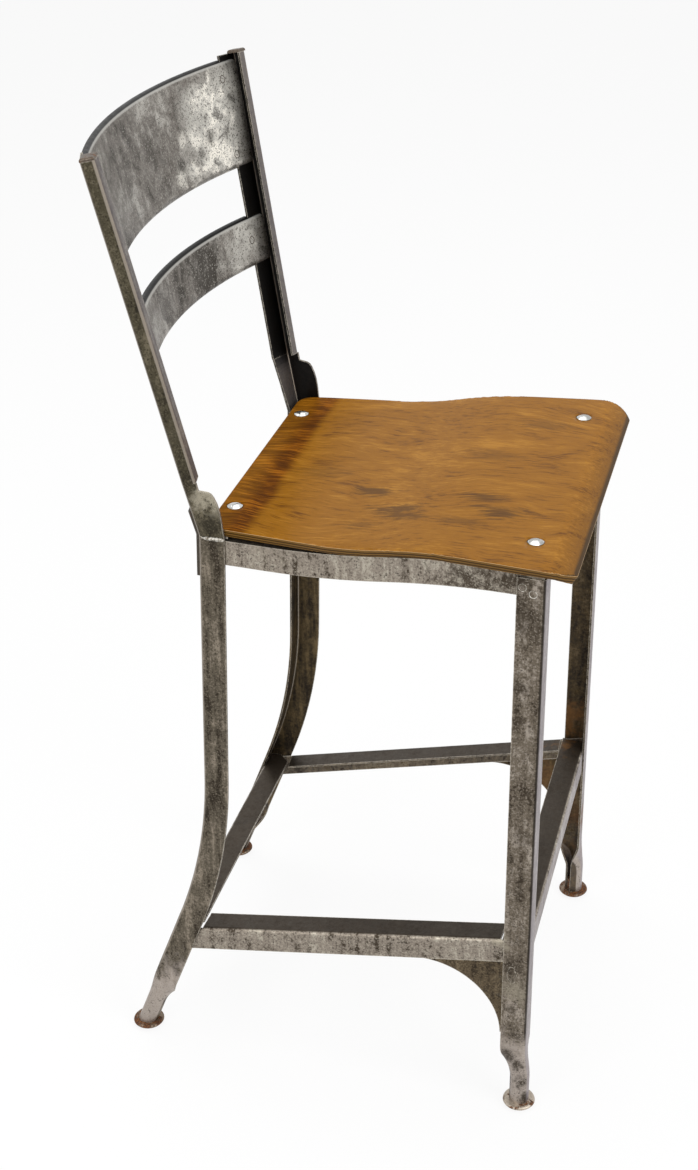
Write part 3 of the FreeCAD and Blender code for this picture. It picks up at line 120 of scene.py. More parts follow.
class StoolColours(bpy.types.PropertyGroup):
    """Colours of the finishes."""

    # Also the painted highlight along the bends of the rear legs and posts
    leg_light: colour_setting("Legs, rubbed", "Leg steel rubbed bright", 0xA0968A)
    leg_mid: colour_setting("Legs", "Most of the leg steel", 0x6B6154)
    leg_dark: colour_setting("Legs, scale", "Mill scale on the legs", 0x3A3126)
    rear_light: colour_setting("Rear legs, rubbed", "Rear leg steel rubbed", 0x8C8172)
    rear_mid: colour_setting("Rear legs", "Most of the rear leg steel", 0x5D5548)
    rear_dark: colour_setting("Rear legs, scale", "Scale on the rear legs", 0x30281D)
    web_light: colour_setting("Posts, rubbed", "Post steel rubbed bright", 0x6A6250)
    web_mid: colour_setting("Posts", "Olive grey of the posts' webs", 0x4A4434)
    # Also the painted shade on the back of the slats
    web_dark: colour_setting("Posts, scale", "Mill scale on the posts", 0x2C271C)
    rail_light: colour_setting("Rails, rubbed", "Rail steel rubbed bright", 0xB5AD9E)
    rail_mid: colour_setting("Rails", "Most of the rail steel", 0x90867A)
    rail_dark: colour_setting("Rails, stain", "Stain on the rails", 0x40362A)
    gusset_light: colour_setting("Gussets, rubbed", "Gusset steel rubbed", 0x7C6E57)
    gusset_mid: colour_setting("Gussets", "Olive brown of the gussets", 0x5A4D3A)
    gusset_dark: colour_setting("Gussets, scale", "Mill scale on the gussets", 0x33291C)
    foot: colour_setting("Feet", "Bright steel at the foot of each leg", 0xB6ABA2)
    rubbed: colour_setting("Rubbed", "Patches that hands and feet rub", 0xADA592)
    # Painted light: the paler mauve grey of flanges that face forward or back
    flange_sheen: colour_setting("Flanges", "Mauve grey of the forward flanges", 0x9A9297)
    upper_light: colour_setting("Upper faces", "Brown of the upper faces", 0x453C32)
    upper_dark: colour_setting("Upper faces, dark", "Their darkest brown", 0x241D15)
    # Painted shade over an olive-brown patina, on the faces that look inwards
    inner_dark: colour_setting("Inside, dark", "Dark inside of the frame", 0x1A1209)
    inner_light: colour_setting("Inside", "Olive brown inside the frame", 0x56431F)
    # Painted shade over an olive-brown patina, inside the rear legs
    rear_inner_dark: colour_setting("Rear, inside, dark", "Dark inside", 0x231A0E)
    rear_inner_light: colour_setting("Rear, inside", "Inside of rear legs", 0x665330)
    # Painted shade: the inside of the posts is painted near black
    post_inner_dark: colour_setting("Posts, inside, dark", "Blackest inside", 0x040302)
    post_inner_light: colour_setting("Posts, inside", "Inside of the posts", 0x120D08)
    # Bright rubbed edges of the frame, with a painted highlight on them
    worn_edge_and_highlight: colour_setting("Worn edge", "Bright steel at rubbed edges", 0xC4BCAE)
    # Grime in the pits and rust, and also the painted dark reflection along the front
    # legs' bends
    grime_and_bend_shade: colour_setting("Grime", "Old grime in hollows and bends", 0x1E1810)
    slat_cream: colour_setting("Slat, cream", "Palest clouds on the slats", 0xFAF5EA)
    slat_pale: colour_setting("Slat, pale", "Pale steel round the clouds", 0xCDCAC2)
    slat_light: colour_setting("Slat, bright", "Bright steel of the slats", 0xB8B4AC)
    slat_mid: colour_setting("Slat, grey", "Grey steel of the slats", 0x767069)
    slat_dark: colour_setting("Slat, stain", "Stains on the slats", 0x3B362F)
    # Painted highlight and painted dark reflection of the slats' rolled top edge
    roll_highlight: colour_setting("Roll, bright", "Front of the slats' roll", 0xB9B7B1)
    roll_dark_reflection: colour_setting("Roll, dark", "Top of the slats' roll", 0x060504)
    rust: colour_setting("Rust", "Thin rust", 0x5A3217)
    rust_old: colour_setting("Rust, old", "Olive brown of the legs' rust", 0x46300F)
    rust_bright: colour_setting("Rust, fresh", "Orange of fresher rust", 0x85571F)
    wood_light: colour_setting("Wood, light", "Light streaks of the veneer", 0xA97423)
    wood_mid: colour_setting("Wood, amber", "Amber of the varnished veneer", 0x905E12)
    wood_dark: colour_setting("Wood, dark", "Dark streaks of the veneer", 0x653C06)
    # Also the painted shade on the seat's front lip
    smudge_and_lip_shade: colour_setting("Wood, smudge", "Dark smudges in the veneer", 0x4C300B)
    # Painted dark reflection of the backrest at the back of the seat, with dark and
    # glowing streaks
    reflection_band_amber: colour_setting("Varnish, deep", "Thick varnish at the back", 0x5A2F00)
    reflection_band_dark: colour_setting("Varnish, darkest", "Dark streaks at the back", 0x452300)
    reflection_band_glow: colour_setting("Varnish, glow", "Light streaks at the back", 0xA05F10)
    # Painted highlight along the seat's top arris
    arris_highlight: colour_setting("Wood, arris", "Bright line round the seat", 0xD2AA76)
    ply_light: colour_setting("Plies, light", "Face grain at the seat's edge", 0x7C5C2C)
    # Also the painted shade along the front lip's edge
    ply_dark: colour_setting("Plies, dark", "End grain at the seat's edge", 0x33250F)
    plating: colour_setting("Screw plating", "Bright plating of the screws", 0xD2D3D2)
    plating_haze: colour_setting("Plating, haze", "Handling marks on it", 0xA9A9A6)
    # Painted shade round the rim of each screw head
    plating_rim_shade: colour_setting("Plating, dirt", "Dirt round each head", 0x4C4A46)
    weld_dark: colour_setting("Welds, flux", "Flux in the welds' pits", 0x5B5347)
    weld_mid: colour_setting("Welds", "Brushed grey of the welds", 0xA39D92)
    weld_light: colour_setting("Welds, bright", "Crests of the ripples", 0xCFCBC2)
    cap: colour_setting("Caps", "Steel of the post caps", 0x261E18)
    cap_worn: colour_setting("Caps, worn", "Worn steel of the caps", 0x7A6E62)
    strap: colour_setting("Straps", "Steel of the splice straps", 0x28241F)
    strap_worn: colour_setting("Straps, worn", "Worn steel of the straps", 0x5E564C)
    foot_glide: colour_setting("Worn glide", "Near glide's steel", 0x8A7C6C)
    foot_glide_worn: colour_setting("Worn glide, rim", "Near glide's rim", 0xD8CEC0)
    glide: colour_setting("Glides", "Steel of the other glides", 0x4A3D32)
    glide_worn: colour_setting("Glides, rim", "Rim of the other glides", 0x9A8A78)
    nut: colour_setting("Nuts", "Steel of the seat nuts", 0x6C6860)
    nut_worn: colour_setting("Nuts, worn", "Worn steel of the nuts", 0x96928A)
    ring: colour_setting("Slat rings", "Stained rings on the slats", 0x2E2822)
    ring_worn: colour_setting("Slat rings, worn", "Rubbed rings there", 0x5E564C)
    floor: colour_setting("Floor", "Pale studio floor", 0xFFFFFF)
    backdrop: colour_setting("Backdrop", "White of the backdrop", 0xFFFFFF)


def hue(name):
    """A chosen colour as a plain tuple, as a node's socket takes it."""
    return tuple(getattr(bpy.context.scene.stool_colours, name))


def sizes():
    """The chosen sizes."""
    return bpy.context.scene.stool_sizes


def add(tree, kind, takes=(), stops=(), **settings):
    """Add a node with its settings and with what its inputs take: values or nodes."""
    made = tree.nodes.new("ShaderNode" + kind)
    for name, value in settings.items():
        setattr(made, name, value)
    for count, (place, colour) in enumerate(stops):
        marks = made.color_ramp.elements
        mark = marks[count] if count < len(marks) else marks.new(place)
        mark.position = place
        mark.color = colour
    for socket, value in takes.items() if isinstance(takes, dict) else enumerate(takes):
        if isinstance(value, bpy.types.Node):
            value = next(output for output in value.outputs if output.enabled)
        if isinstance(value, bpy.types.NodeSocket):
            tree.links.new(value, made.inputs[socket])
        else:
            made.inputs[socket].default_value = value
    return made


# Sockets of a Mix node that blends two colours
LOW = 6
HIGH = 7
# Setting of a MapRange node that eases in and out
SOFT = {"interpolation_type": "SMOOTHSTEP"}


def blank_material(name):
    """New material with its tree, a way to add nodes to it, and Object coordinates."""
    material = bpy.data.materials.new(name)
    material.use_nodes = True
    material.node_tree.nodes.clear()
    node = partial(add, material.node_tree)
    return material, node, node("TexCoord").outputs["Object"]


# A patch's rim: how far the ragged pattern moves it, and how far from the middle the
# patch starts and is full, all in reaches
RIM_SHIFT = 3
RIM_START = 2.5
RIM_FULL = 1.7


def patches(node, coordinates, ragged, places, spread=(1, 1, 1)):
    """Mask of soft patches: each has its place and reach in mm and its strength. The
    ragged pattern breaks up their outlines."""
    scaled = node("VectorMath", (coordinates, spread), operation="MULTIPLY")
    total = None
    for place, reach, strength in places:
        middle = [value * share * MM for value, share in zip(place, spread)]
        far = node("VectorMath", (scaled, middle), operation="DISTANCE")
        rim = node("Math", (ragged, reach * MM * RIM_SHIFT, far),
                   operation="MULTIPLY_ADD")
        mark = node("MapRange", {"Value": rim, "From Min": reach * MM * RIM_START,
                                 "From Max": reach * MM * RIM_FULL,
                                 "To Max": strength}, **SOFT)
        total = mark if total is None else node("Math", (total, mark),
                                                operation="MAXIMUM")
    return total


def edge_lines(node, width_mm):
    """Mask of the thin lines along edges and bends, where hands and feet rub; on the
    frame they also carry a painted highlight.
    """
    rounded = node("Bevel", {"Radius": width_mm * MM}, samples=6)
    flat = node("NewGeometry").outputs["Normal"]
    alike = node("VectorMath", (rounded, flat), operation="DOT_PRODUCT")
    return node("MapRange", {"Value": alike, "From Min": 0.985, "From Max": 0.90},
                **SOFT)


def hollow_side(node, coordinates, level):
    """Mask of the faces that look in towards the stool's middle."""
    across = node("VectorMath", (coordinates, level), operation="MULTIPLY")
    out = node("VectorMath", (across,), operation="NORMALIZE")
    way = node("VectorMath", (node("NewGeometry").outputs["Normal"], out),
               operation="DOT_PRODUCT")
    return node("MapRange", {"Value": way, "From Min": -0.18, "From Max": -0.32},
                **SOFT)


# Rubbed, rusted and darkened places of the frame: place and reach in mm, and strength
RUBBED_PLACES = (((-153, 104, 632), 22, 0.8), ((-150, 118, 700), 18, 0.5),
                 ((-178, -185, 150), 20, 0.45), ((-178, -170, 205), 12, 0.6),
                 ((-182, 100, 585), 24, 0.5), ((-180, 215, 120), 20, 0.5),
                 ((-181, 160, 260), 20, 0.4), ((-180, 60, 580), 30, 0.4))
RUST_PLACES = (((171, -169, 232), 34, 0.85), ((168, -150, 150), 40, 0.6),
               ((172, -190, 110), 30, 0.6), ((172, -185, 60), 16, 0.5),
               ((165, 188, 222), 24, 0.6))
# Dark patches; those at about 585 mm lie just under the seat's edge
DARK_PATCH_PLACES = (((-154, 106, 606), 16, 0.8), ((-178, -188, 96), 12, 0.7),
                ((-178, -182, 180), 12, 0.7), ((-178, -182, 128), 10, 0.6),
                ((-175, -183, 491), 12, 0.8), ((-175, -178, 453), 10, 0.8),
                ((-175, -183, 559), 26, 0.65), ((-180, -37, 585), 9, 0.6),
                ((-180, -89, 585), 9, 0.6), ((-180, -107, 585), 7, 0.55),
                ((-178, -165, 585), 36, 0.95), ((-182, -186, 330), 18, 0.5),
                ((-180, -128, 583), 34, 0.9), ((-177, -192, 56), 10, 0.9),
                ((-178, -197, 34), 11, 0.95), ((-178, -200, 14), 11, 0.95),
                ((-176, -180, 66), 13, 0.9), ((-155, 90, 622), 9, 0.8))


def pressed_steel(name, shade, seed, hollow=0.85, level=(1, 1, 0), upper=0.0, bend=0.0,
                  bend_shade="grime_and_bend_shade", flange_sheen=0.0, streak=0.25, inside="inner"):
    """Pressed mild steel, stripped of its paint and clear waxed: an uneven satin shine
    with clouds of mill scale, fine dark pits and runs, edges rubbed bright with a
    painted highlight on them, painted shade over an olive-brown patina on the faces
    that look inwards, and a painted reflection along the bends, dark on some pieces
    and bright on others. The seed moves the pattern. Hollow, upper, bend, flange and
    streak are the strengths of the painted shade inside, the darker brown upper faces,
    the painted reflection along the bend, the paler mauve flanges painted as lit, and
    the runs, and level has the axes that tell which faces look inwards."""
    material, node, coordinates = blank_material(name)
    light, mid, dark = (hue(f"{shade}_{depth}") for depth in ("light", "mid", "dark"))
    place = node("Mapping", {"Vector": coordinates, "Location": (seed, seed * 0.7, 0)})
    upright = node("Mapping", {"Vector": place, "Scale": (1, 1, 0.14)})
    # Pits are about 0.4 mm across, drawn at 1.7 mm so that they show
    cloud, blotch, mottle, pit, run = (
        node("TexNoise", {"Vector": where, "Scale": cells(width), "Detail": detail,
                          "Roughness": rough, "Distortion": twist})
        for where, width, detail, rough, twist in (
            (place, 55, 5, 0.6, 0.6), (place, 14, 6, 0.7, 0.4),
            (place, 3.6, 4, 0.72, 0), (place, 1.7, 2, 0.6, 0),
            (upright, 8, 4, 0.62, 0)))
    tone = node("VectorMath", (node("CombineXYZ", (cloud, blotch, mottle)),
                               (0.30, 0.34, 0.36)), operation="DOT_PRODUCT")
    tone = node("Math", (run, streak, node("Math", (tone, 1 - streak),
                                           operation="MULTIPLY")),
                operation="MULTIPLY_ADD")
    colour = node("ValToRGB", (tone,), stops=((0.425, dark), (0.482, mid), (0.51, mid),
                                              (0.57, light)))
    # The feet are kicked bright, and hands and shoes rub other patches
    height = node("SeparateXYZ", (coordinates,)).outputs["Z"]
    kicked = node("MapRange", {"Value": node("Math", (blotch, 0.12, height),
                                             operation="MULTIPLY_ADD"),
                               "From Min": 0.165, "From Max": 0.125, "To Max": 0.8})
    rubbed = patches(node, coordinates, blotch, RUBBED_PLACES)
    # Dark patches, pits and bright flecks lie over them
    darkened, pitted, flecks = (
        node("MapRange", {"Value": pattern, "From Min": start, "From Max": full,
                          "To Max": most}, **SOFT)
        for pattern, start, full, most in (
            (blotch, 0.58, 0.66, 0.6), (pit, 0.575, 0.64, 0.75),
            (pit, 0.42, 0.36, 0.55)))
    darkened = node("Math", (darkened, patches(node, coordinates, blotch, DARK_PATCH_PLACES)),
                 operation="MAXIMUM")
    clustered = node("MapRange", {"Value": blotch, "From Min": 0.40, "From Max": 0.55,
                                  "To Min": 0.25})
    pitted = node("Math", (pitted, clustered), operation="MULTIPLY")
    layers = [(kicked, hue("foot")), (rubbed, hue("rubbed")), (darkened, dark),
              (pitted, hue("grime_and_bend_shade")), (flecks, light)]
    facing = node("SeparateXYZ", (node("NewGeometry").outputs["Normal"],)).outputs
    if flange_sheen:
        # Painted light: flanges that face forward or back are paler and a little mauve,
        # as lit faces
        side = node("Math", (facing["Y"],), operation="ABSOLUTE")
        side = node("MapRange", {"Value": side, "From Min": 0.75, "From Max": 0.95,
                                 "To Max": flange_sheen}, **SOFT)
        layers.append((side, hue("flange_sheen")))
    if upper:
        # Faces that look up are darker brown
        up = node("MapRange", {"Value": facing["Z"], "From Min": 0.80,
                               "From Max": 0.97, "To Max": upper}, **SOFT)
        brown = node("Mix", {0: blotch, LOW: hue("upper_light"),
                             HIGH: hue("upper_dark")}, data_type="RGBA")
        layers.append((up, brown))
    # Faces that look inwards get painted shade over an olive-brown patina, near black
    # inside the posts, and old rust lies in patches
    inner = node("Math", (hollow_side(node, coordinates, level), hollow),
                 operation="MULTIPLY")
    shade_and_patina = node("ValToRGB", (tone,), stops=((0.44, hue(inside + "_dark")),
                                            (0.60, hue(inside + "_light"))))
    rusty = patches(node, coordinates, blotch, RUST_PLACES)
    rust = node("Mix", {0: mottle, LOW: hue("rust_old"), HIGH: hue("rust_bright")},
                data_type="RGBA")
    layers += [(inner, shade_and_patina), (rusty, rust)]
    if bend:
        # Painted reflection along the bend between the two flanges: dark on the front
        # legs, and a bright painted highlight on the rear legs and posts
        bend_reflection = node("Math", (node("Math", (facing["X"], facing["Y"]),
                                    operation="MULTIPLY"),), operation="ABSOLUTE")
        bend_reflection = node("MapRange", {"Value": bend_reflection, "From Min": 0.33, "From Max": 0.46,
                                   "To Max": bend}, **SOFT)
        # The drawn-in foot is round, and is no bend
        shank = node("MapRange", {"Value": height, "From Min": 0.085, "From Max": 0.1})
        bend_reflection = node("Math", (bend_reflection, shank), operation="MULTIPLY")
        layers.append((bend_reflection, hue(bend_shade)))
    # Edges and bends rubbed bright, with a painted highlight along them
    broken = node("MapRange", {"Value": mottle, "From Min": 0.30, "From Max": 0.55,
                               "To Max": 0.85})
    bright_edges = node("Math", (edge_lines(node, 1.6), broken), operation="MULTIPLY")
    layers.append((bright_edges, hue("worn_edge_and_highlight")))
    for mask, over in layers:
        colour = node("Mix", {0: mask, LOW: colour, HIGH: over}, data_type="RGBA")
    rough = node("MapRange", {"Value": tone, "From Min": 0.42, "From Max": 0.58,
                              "To Min": 0.56, "To Max": 0.34})
    rough = node("Math", (rusty, 0.25, rough), operation="MULTIPLY_ADD")
    relief = node("Math", (pitted, -0.8, mottle), operation="MULTIPLY_ADD")
    shine = node("Bump", {"Strength": 0.4, "Distance": 0.0003, "Height": relief})
    metal = node("MapRange", {"Value": rusty, "To Min": 0.75, "To Max": 0.1})
    steel = node("BsdfPrincipled", {"Base Color": colour, "Metallic": metal,
                                    "Roughness": rough, "Normal": shine})
    node("OutputMaterial", (steel,))
    return material


# Clouds and stains of the slats: place and reach in mm, and strength
HALO_PLACES = (((132, 183, 878), 74, 0.8), ((138, 164, 768), 50, 0.9),
               ((-150, 180, 880), 16, 0.35), ((-120, 185, 862), 12, 0.3))
PALE_PLACES = (((138, 185, 897), 34, 1.0), ((132, 178, 858), 32, 1.0),
               ((100, 188, 880), 15, 0.8), ((160, 165, 765), 20, 0.7),
               ((118, 190, 915), 16, 0.85), ((60, 190, 850), 15, 0.6),
               ((152, 172, 850), 18, 0.7), ((84, 190, 850), 16, 0.85),
               ((110, 186, 852), 16, 0.9), ((78, 192, 880), 10, 0.6))
DARK_PLACES = (((66, 193, 862), 10, 0.75), ((124, 183, 874), 9, 0.8),
               ((-32, 209, 918), 9, 0.8), ((-27, 207, 908), 9, 0.7),
               ((20, 205, 890), 30, 0.4), ((-60, 195, 880), 26, 0.3),
               ((60, 178, 765), 48, 0.9), ((-40, 185, 765), 30, 0.55),
               ((88, 190, 905), 12, 0.6), ((104, 186, 862), 8, 0.7),
               ((30, 205, 850), 22, 0.35), ((-110, 190, 900), 16, 0.4))


def clouded_steel(name):
    """Cold-rolled steel sheet, rubbed back and waxed: pale clouds at the far end, a
    salt and pepper grain, brown stains, painted shade on the back, and a painted
    highlight and a painted dark reflection along each rolled edge."""
    material, node, coordinates = blank_material(name)
    upright = node("Mapping", {"Vector": coordinates, "Scale": (1, 1, 0.16)})
    # The grain is about 0.5 mm, drawn at 1.8 mm so that it shows
    cloud, blotch, grain, run = (
        node("TexNoise", {"Vector": where, "Scale": cells(width), "Detail": detail,
                          "Roughness": rough, "Distortion": twist})
        for where, width, detail, rough, twist in (
            (coordinates, 70, 5, 0.6, 0.8), (coordinates, 17, 7, 0.7, 0.5),
            (coordinates, 1.8, 3, 0.7, 0), (upright, 11, 4, 0.6, 0)))
    tone = node("VectorMath", (node("CombineXYZ", (cloud, blotch, run)),
                               (0.40, 0.42, 0.18)), operation="DOT_PRODUCT")
    tone = node("Math", (grain, 0.26, node("Math", (tone, 0.74), operation="MULTIPLY")),
                operation="MULTIPLY_ADD")
    colour = node("ValToRGB", (tone,), stops=(
        (0.435, hue("slat_dark")), (0.485, hue("slat_mid")), (0.515, hue("slat_mid")),
        (0.565, hue("slat_light"))))
    halo = patches(node, coordinates, cloud, HALO_PLACES)
    pale = patches(node, coordinates, blotch, PALE_PLACES)
    cream = node("Mix", {0: node("MapRange", {"Value": blotch, "From Min": 0.46,
                                              "From Max": 0.60}),
                         LOW: hue("slat_cream"), HIGH: hue("slat_pale")},
                 data_type="RGBA")
    # The back of the slats is painted darker as shade, and the roll along the top edge
    # has a painted highlight in front and a painted dark reflection on top
    facing = node("SeparateXYZ", (node("NewGeometry").outputs["Normal"],)).outputs
    spots, pepper, salt, back_shade, roll, top = (
        node("MapRange", {"Value": value, "From Min": start, "From Max": full,
                          "To Max": most}, **SOFT)
        for value, start, full, most in (
            (blotch, 0.575, 0.64, 0.6), (grain, 0.545, 0.60, 0.85),
            (grain, 0.43, 0.37, 0.7), (facing["Y"], 0, 0.35, 0.4),
            (facing["Z"], 0.28, 0.50, 0.75), (facing["Z"], 0.62, 0.78, 1)))
    murky = node("Math", (patches(node, coordinates, blotch, DARK_PLACES), spots),
                 operation="MAXIMUM")
    for mask, over in ((halo, hue("slat_pale")), (pale, cream),
                       (murky, hue("slat_dark")), (pepper, hue("slat_dark")),
                       (salt, hue("slat_light")), (back_shade, hue("web_dark")),
                       (roll, hue("roll_highlight")), (top, hue("roll_dark_reflection"))):
        colour = node("Mix", {0: mask, LOW: colour, HIGH: over}, data_type="RGBA")
    rough = node("MapRange", {"Value": tone, "From Min": 0.42, "From Max": 0.58,
                              "To Min": 0.5, "To Max": 0.3})
    shine = node("Bump", {"Strength": 0.3, "Distance": 0.0002, "Height": grain})
    steel = node("BsdfPrincipled", {"Base Color": colour, "Metallic": 0.8,
                                    "Roughness": rough, "Normal": shine})
    node("OutputMaterial", (steel,))
    return material


def rusted_steel(name, shade, cover):
    """Turned or stamped mild steel with rust through it: a matt orange-brown crust in
    patches, rubbed metal between them, and a bright worn rim."""
    material, node, coordinates = blank_material(name)
    base = hue(shade)
    worn = hue(shade + "_worn")
    crust = node("TexNoise", {"Vector": coordinates, "Scale": cells(8), "Detail": 6.0,
                              "Roughness": 0.72, "Distortion": 0.6})
    fine = node("TexNoise", {"Vector": coordinates, "Scale": cells(1.6), "Detail": 3.0,
                             "Roughness": 0.65})
    mask = node("MapRange", {"Value": crust, "From Min": 0.66 - cover * 0.3,
                             "From Max": 0.74 - cover * 0.3}, **SOFT)
    rust = node("ValToRGB", (fine,), stops=((0.35, hue("grime_and_bend_shade")), (0.5, hue("rust")),
                                            (0.66, hue("rust_bright"))))
    metal = node("Mix", {0: fine, LOW: base, HIGH: worn}, data_type="RGBA")
    colour = node("Mix", {0: mask, LOW: metal, HIGH: rust}, data_type="RGBA")
    bright_edges = node("Math", (edge_lines(node, 0.9), 0.8), operation="MULTIPLY")
    colour = node("Mix", {0: bright_edges, LOW: colour, HIGH: worn}, data_type="RGBA")
    shine = node("Bump", {"Strength": 0.5, "Distance": 0.0004, "Height": crust})
    steel = node("BsdfPrincipled", {
        "Base Color": colour, "Normal": shine,
        "Metallic": node("MapRange", {"Value": mask, "To Min": 0.75, "To Max": 0.1}),
        "Roughness": node("MapRange", {"Value": mask, "To Min": 0.38, "To Max": 0.75})})
    node("OutputMaterial", (steel,))
    return material


def weld_metal(name):
    """Arc weld, brushed: pale grey ripples with dark flux left in their pits."""
    material, node, coordinates = blank_material(name)
    ripple = node("TexNoise", {"Vector": coordinates, "Scale": cells(3.5),
                               "Detail": 3.0, "Roughness": 0.6})
    colour = node("ValToRGB", (ripple,), stops=((0.34, hue("weld_dark")),
                                                (0.46, hue("weld_mid")),
                                                (0.58, hue("weld_light"))))
    shine = node("Bump", {"Strength": 0.6, "Distance": 0.0005, "Height": ripple})
    steel = node("BsdfPrincipled", {"Base Color": colour, "Metallic": 0.7,
                                    "Roughness": 0.4, "Normal": shine})
    node("OutputMaterial", (steel,))
    return material


def bright_plating(name):
    """Nickel-plated steel screw: a bright mirror with a faint haze of handling marks
    and painted shade round the rim of each head, where it meets the wood."""
    material, node, coordinates = blank_material(name)
    haze = node("TexNoise", {"Vector": coordinates, "Scale": cells(9), "Detail": 2.0,
                             "Roughness": 0.5})
    colour = node("ValToRGB", (haze,), stops=((0.42, hue("plating")),
                                              (0.58, hue("plating_haze"))))
    # Painted shade on the steep rim of each head
    facing = node("SeparateXYZ", (node("NewGeometry").outputs["Normal"],)).outputs
    side = node("MapRange", {"Value": facing["Z"], "From Min": 0.86,
                             "From Max": 0.55}, **SOFT)
    colour = node("Mix", {0: side, LOW: colour, HIGH: hue("plating_rim_shade")},
                  data_type="RGBA")
    rough = node("MapRange", {"Value": haze, "From Min": 0.4, "From Max": 0.6,
                              "To Min": 0.12, "To Max": 0.28})
    steel = node("BsdfPrincipled", {"Base Color": colour, "Metallic": 1.0,
                                    "Roughness": rough})
    node("OutputMaterial", (steel,))
    return material


# Dark smudges in the seat's veneer: place and reach in mm, and strength
SMUDGES = (((-52, -18, 600), 13, 0.75), ((-88, -51, 600), 16, 0.75),
           ((-60, -122, 600), 12, 0.7), ((-86, -142, 600), 15, 0.75),
           ((-103, -58, 600), 11, 0.65), ((108, -149, 600), 16, 0.35),
           ((-20, 40, 600), 18, 0.3), ((-120, -20, 600), 12, 0.35),
           ((30, -110, 600), 20, 0.25), ((-110, -110, 600), 13, 0.4))
# Middle of the loop in the veneer's figure, in mm
LOOP_PLACE = (30, 10, 0)


def varnished_birch(name):
    """Rotary-cut birch plywood under amber gloss varnish: fine short streaks from front
    to back, a faint watery loop, dark smudges, a painted dark reflection of the
    backrest across the back, painted shade on the forward face of the edge with a
    painted highlight above it, and the plies' stripes round the edge."""
    material, node, coordinates = blank_material(name)
    wander = node("TexNoise", {"Vector": coordinates, "Scale": cells(130),
                               "Detail": 3.0, "Roughness": 0.5})
    drift = node("CombineXYZ", (node("Math", (wander, 0.06), operation="MULTIPLY"),))
    bent = node("VectorMath", (coordinates, drift), operation="ADD")
    # Pores are about 0.1 mm wide, drawn at 1.1 mm so that they show
    pores, streaks, figure = (
        node("TexNoise", {"Vector": node("Mapping", {"Vector": bent,
                                                     "Scale": (1, length, 1)}),
                          "Scale": cells(width), "Detail": detail, "Roughness": rough,
                          "Distortion": twist})
        for length, width, detail, rough, twist in (
            (0.05, 1.1, 3, 0.7, 0), (0.09, 2.8, 5, 0.68, 0.15),
            (0.4, 34, 4, 0.55, 1.2)))
    loop = node("VectorMath", (node("VectorMath", (bent, (1, 0.55, 0)),
                                    operation="MULTIPLY"),
                               [value * MM for value in LOOP_PLACE]),
                operation="DISTANCE")
    rings = node("Math", (node("Math", (loop, cells(3.4)), operation="MULTIPLY"),),
                 operation="SINE")
    near = node("MapRange", {"Value": loop, "From Min": 0.085, "From Max": 0.03,
                             "To Max": 0.02}, **SOFT)
    tone = node("VectorMath", (node("CombineXYZ", (pores, streaks, figure)),
                               (0.36, 0.34, 0.30)), operation="DOT_PRODUCT")
    tone = node("Math", (rings, near, tone), operation="MULTIPLY_ADD")
    colour = node("ValToRGB", (tone,), stops=((0.405, hue("wood_dark")),
                                              (0.476, hue("wood_mid")),
                                              (0.524, hue("wood_mid")),
                                              (0.60, hue("wood_light"))))
    smudged = patches(node, coordinates, streaks, SMUDGES, (1, 0.45, 0))
    parts = node("SeparateXYZ", (coordinates,))
    # Painted dark reflection of the backrest, in a band across the back of the seat
    back = node("Math", (wander, 0.03, parts.outputs["Y"]), operation="MULTIPLY_ADD")
    reflection_band = node("MapRange", {"Value": back, "From Min": 0.080, "From Max": 0.092,
                             "To Max": 0.95}, **SOFT)
    ease = node("MapRange", {"Value": back, "From Min": 0.098, "From Max": 0.115,
                             "To Min": 1.0, "To Max": 0.5})
    reflection_band = node("Math", (reflection_band, ease), operation="MULTIPLY")
    deep = node("ValToRGB", (tone,), stops=((0.42, hue("reflection_band_dark")),
                                            (0.50, hue("reflection_band_amber")),
                                            (0.58, hue("reflection_band_glow"))))
    depth = node("Attribute", attribute_name="ply_depth").outputs["Fac"]
    turn = node("Math", (depth, sizes().ply_count * math.pi), operation="MULTIPLY")
    turn = node("Math", (turn,), operation="SINE")
    ahead = node("SeparateXYZ", (node("NewGeometry").outputs["Normal"],)).outputs["Y"]
    # Painted shade on the front lip, darkest along its edge, and a painted highlight
    # along the top arris
    stripe, lip_shade, lip_edge_shade, arris_highlight, edge = (
        node("MapRange", {"Value": value, "From Min": start, "From Max": full,
                          "To Max": most})
        for value, start, full, most in (
            (turn, 0.3, -0.3, 1), (ahead, -0.2, -0.75, 0.6),
            (ahead, -0.57, -0.62, 0.85), (depth, 0.015, 0.05, 0.75),
            (depth, 0.07, 0.11, 1)))
    plies = node("Mix", {0: stripe, LOW: hue("ply_dark"), HIGH: hue("ply_light")},
                 data_type="RGBA")
    porous = node("Math", (pores, 0.6), operation="MULTIPLY")
    plies = node("Mix", {0: porous, LOW: plies, HIGH: hue("smudge_and_lip_shade")}, data_type="RGBA")
    for mask, over in ((smudged, hue("smudge_and_lip_shade")), (reflection_band, deep), (lip_shade, hue("smudge_and_lip_shade")),
                       (lip_edge_shade, hue("ply_dark")), (arris_highlight, hue("arris_highlight")),
                       (edge, plies)):
        colour = node("Mix", {0: mask, LOW: colour, HIGH: over}, data_type="RGBA")
    grain = node("Math", (pores, streaks), operation="ADD")
    shine = node("Bump", {"Strength": 0.15, "Distance": 0.0003, "Height": grain})
    # The gloss is worn off towards the back, and the band of painted dark reflection
    # there shows without it
    gloss = node("MapRange", {"Value": back, "From Min": 0.03, "From Max": 0.085,
                              "To Min": 0.24, "To Max": 0.0})
    wood = node("BsdfPrincipled", {"Base Color": colour, "Roughness": 0.55,
                                   "Specular IOR Level": 0.03, "Coat Weight": gloss,
                                   "Coat Roughness": 0.18, "Normal": shine})
    node("OutputMaterial", (wood,))
    return material


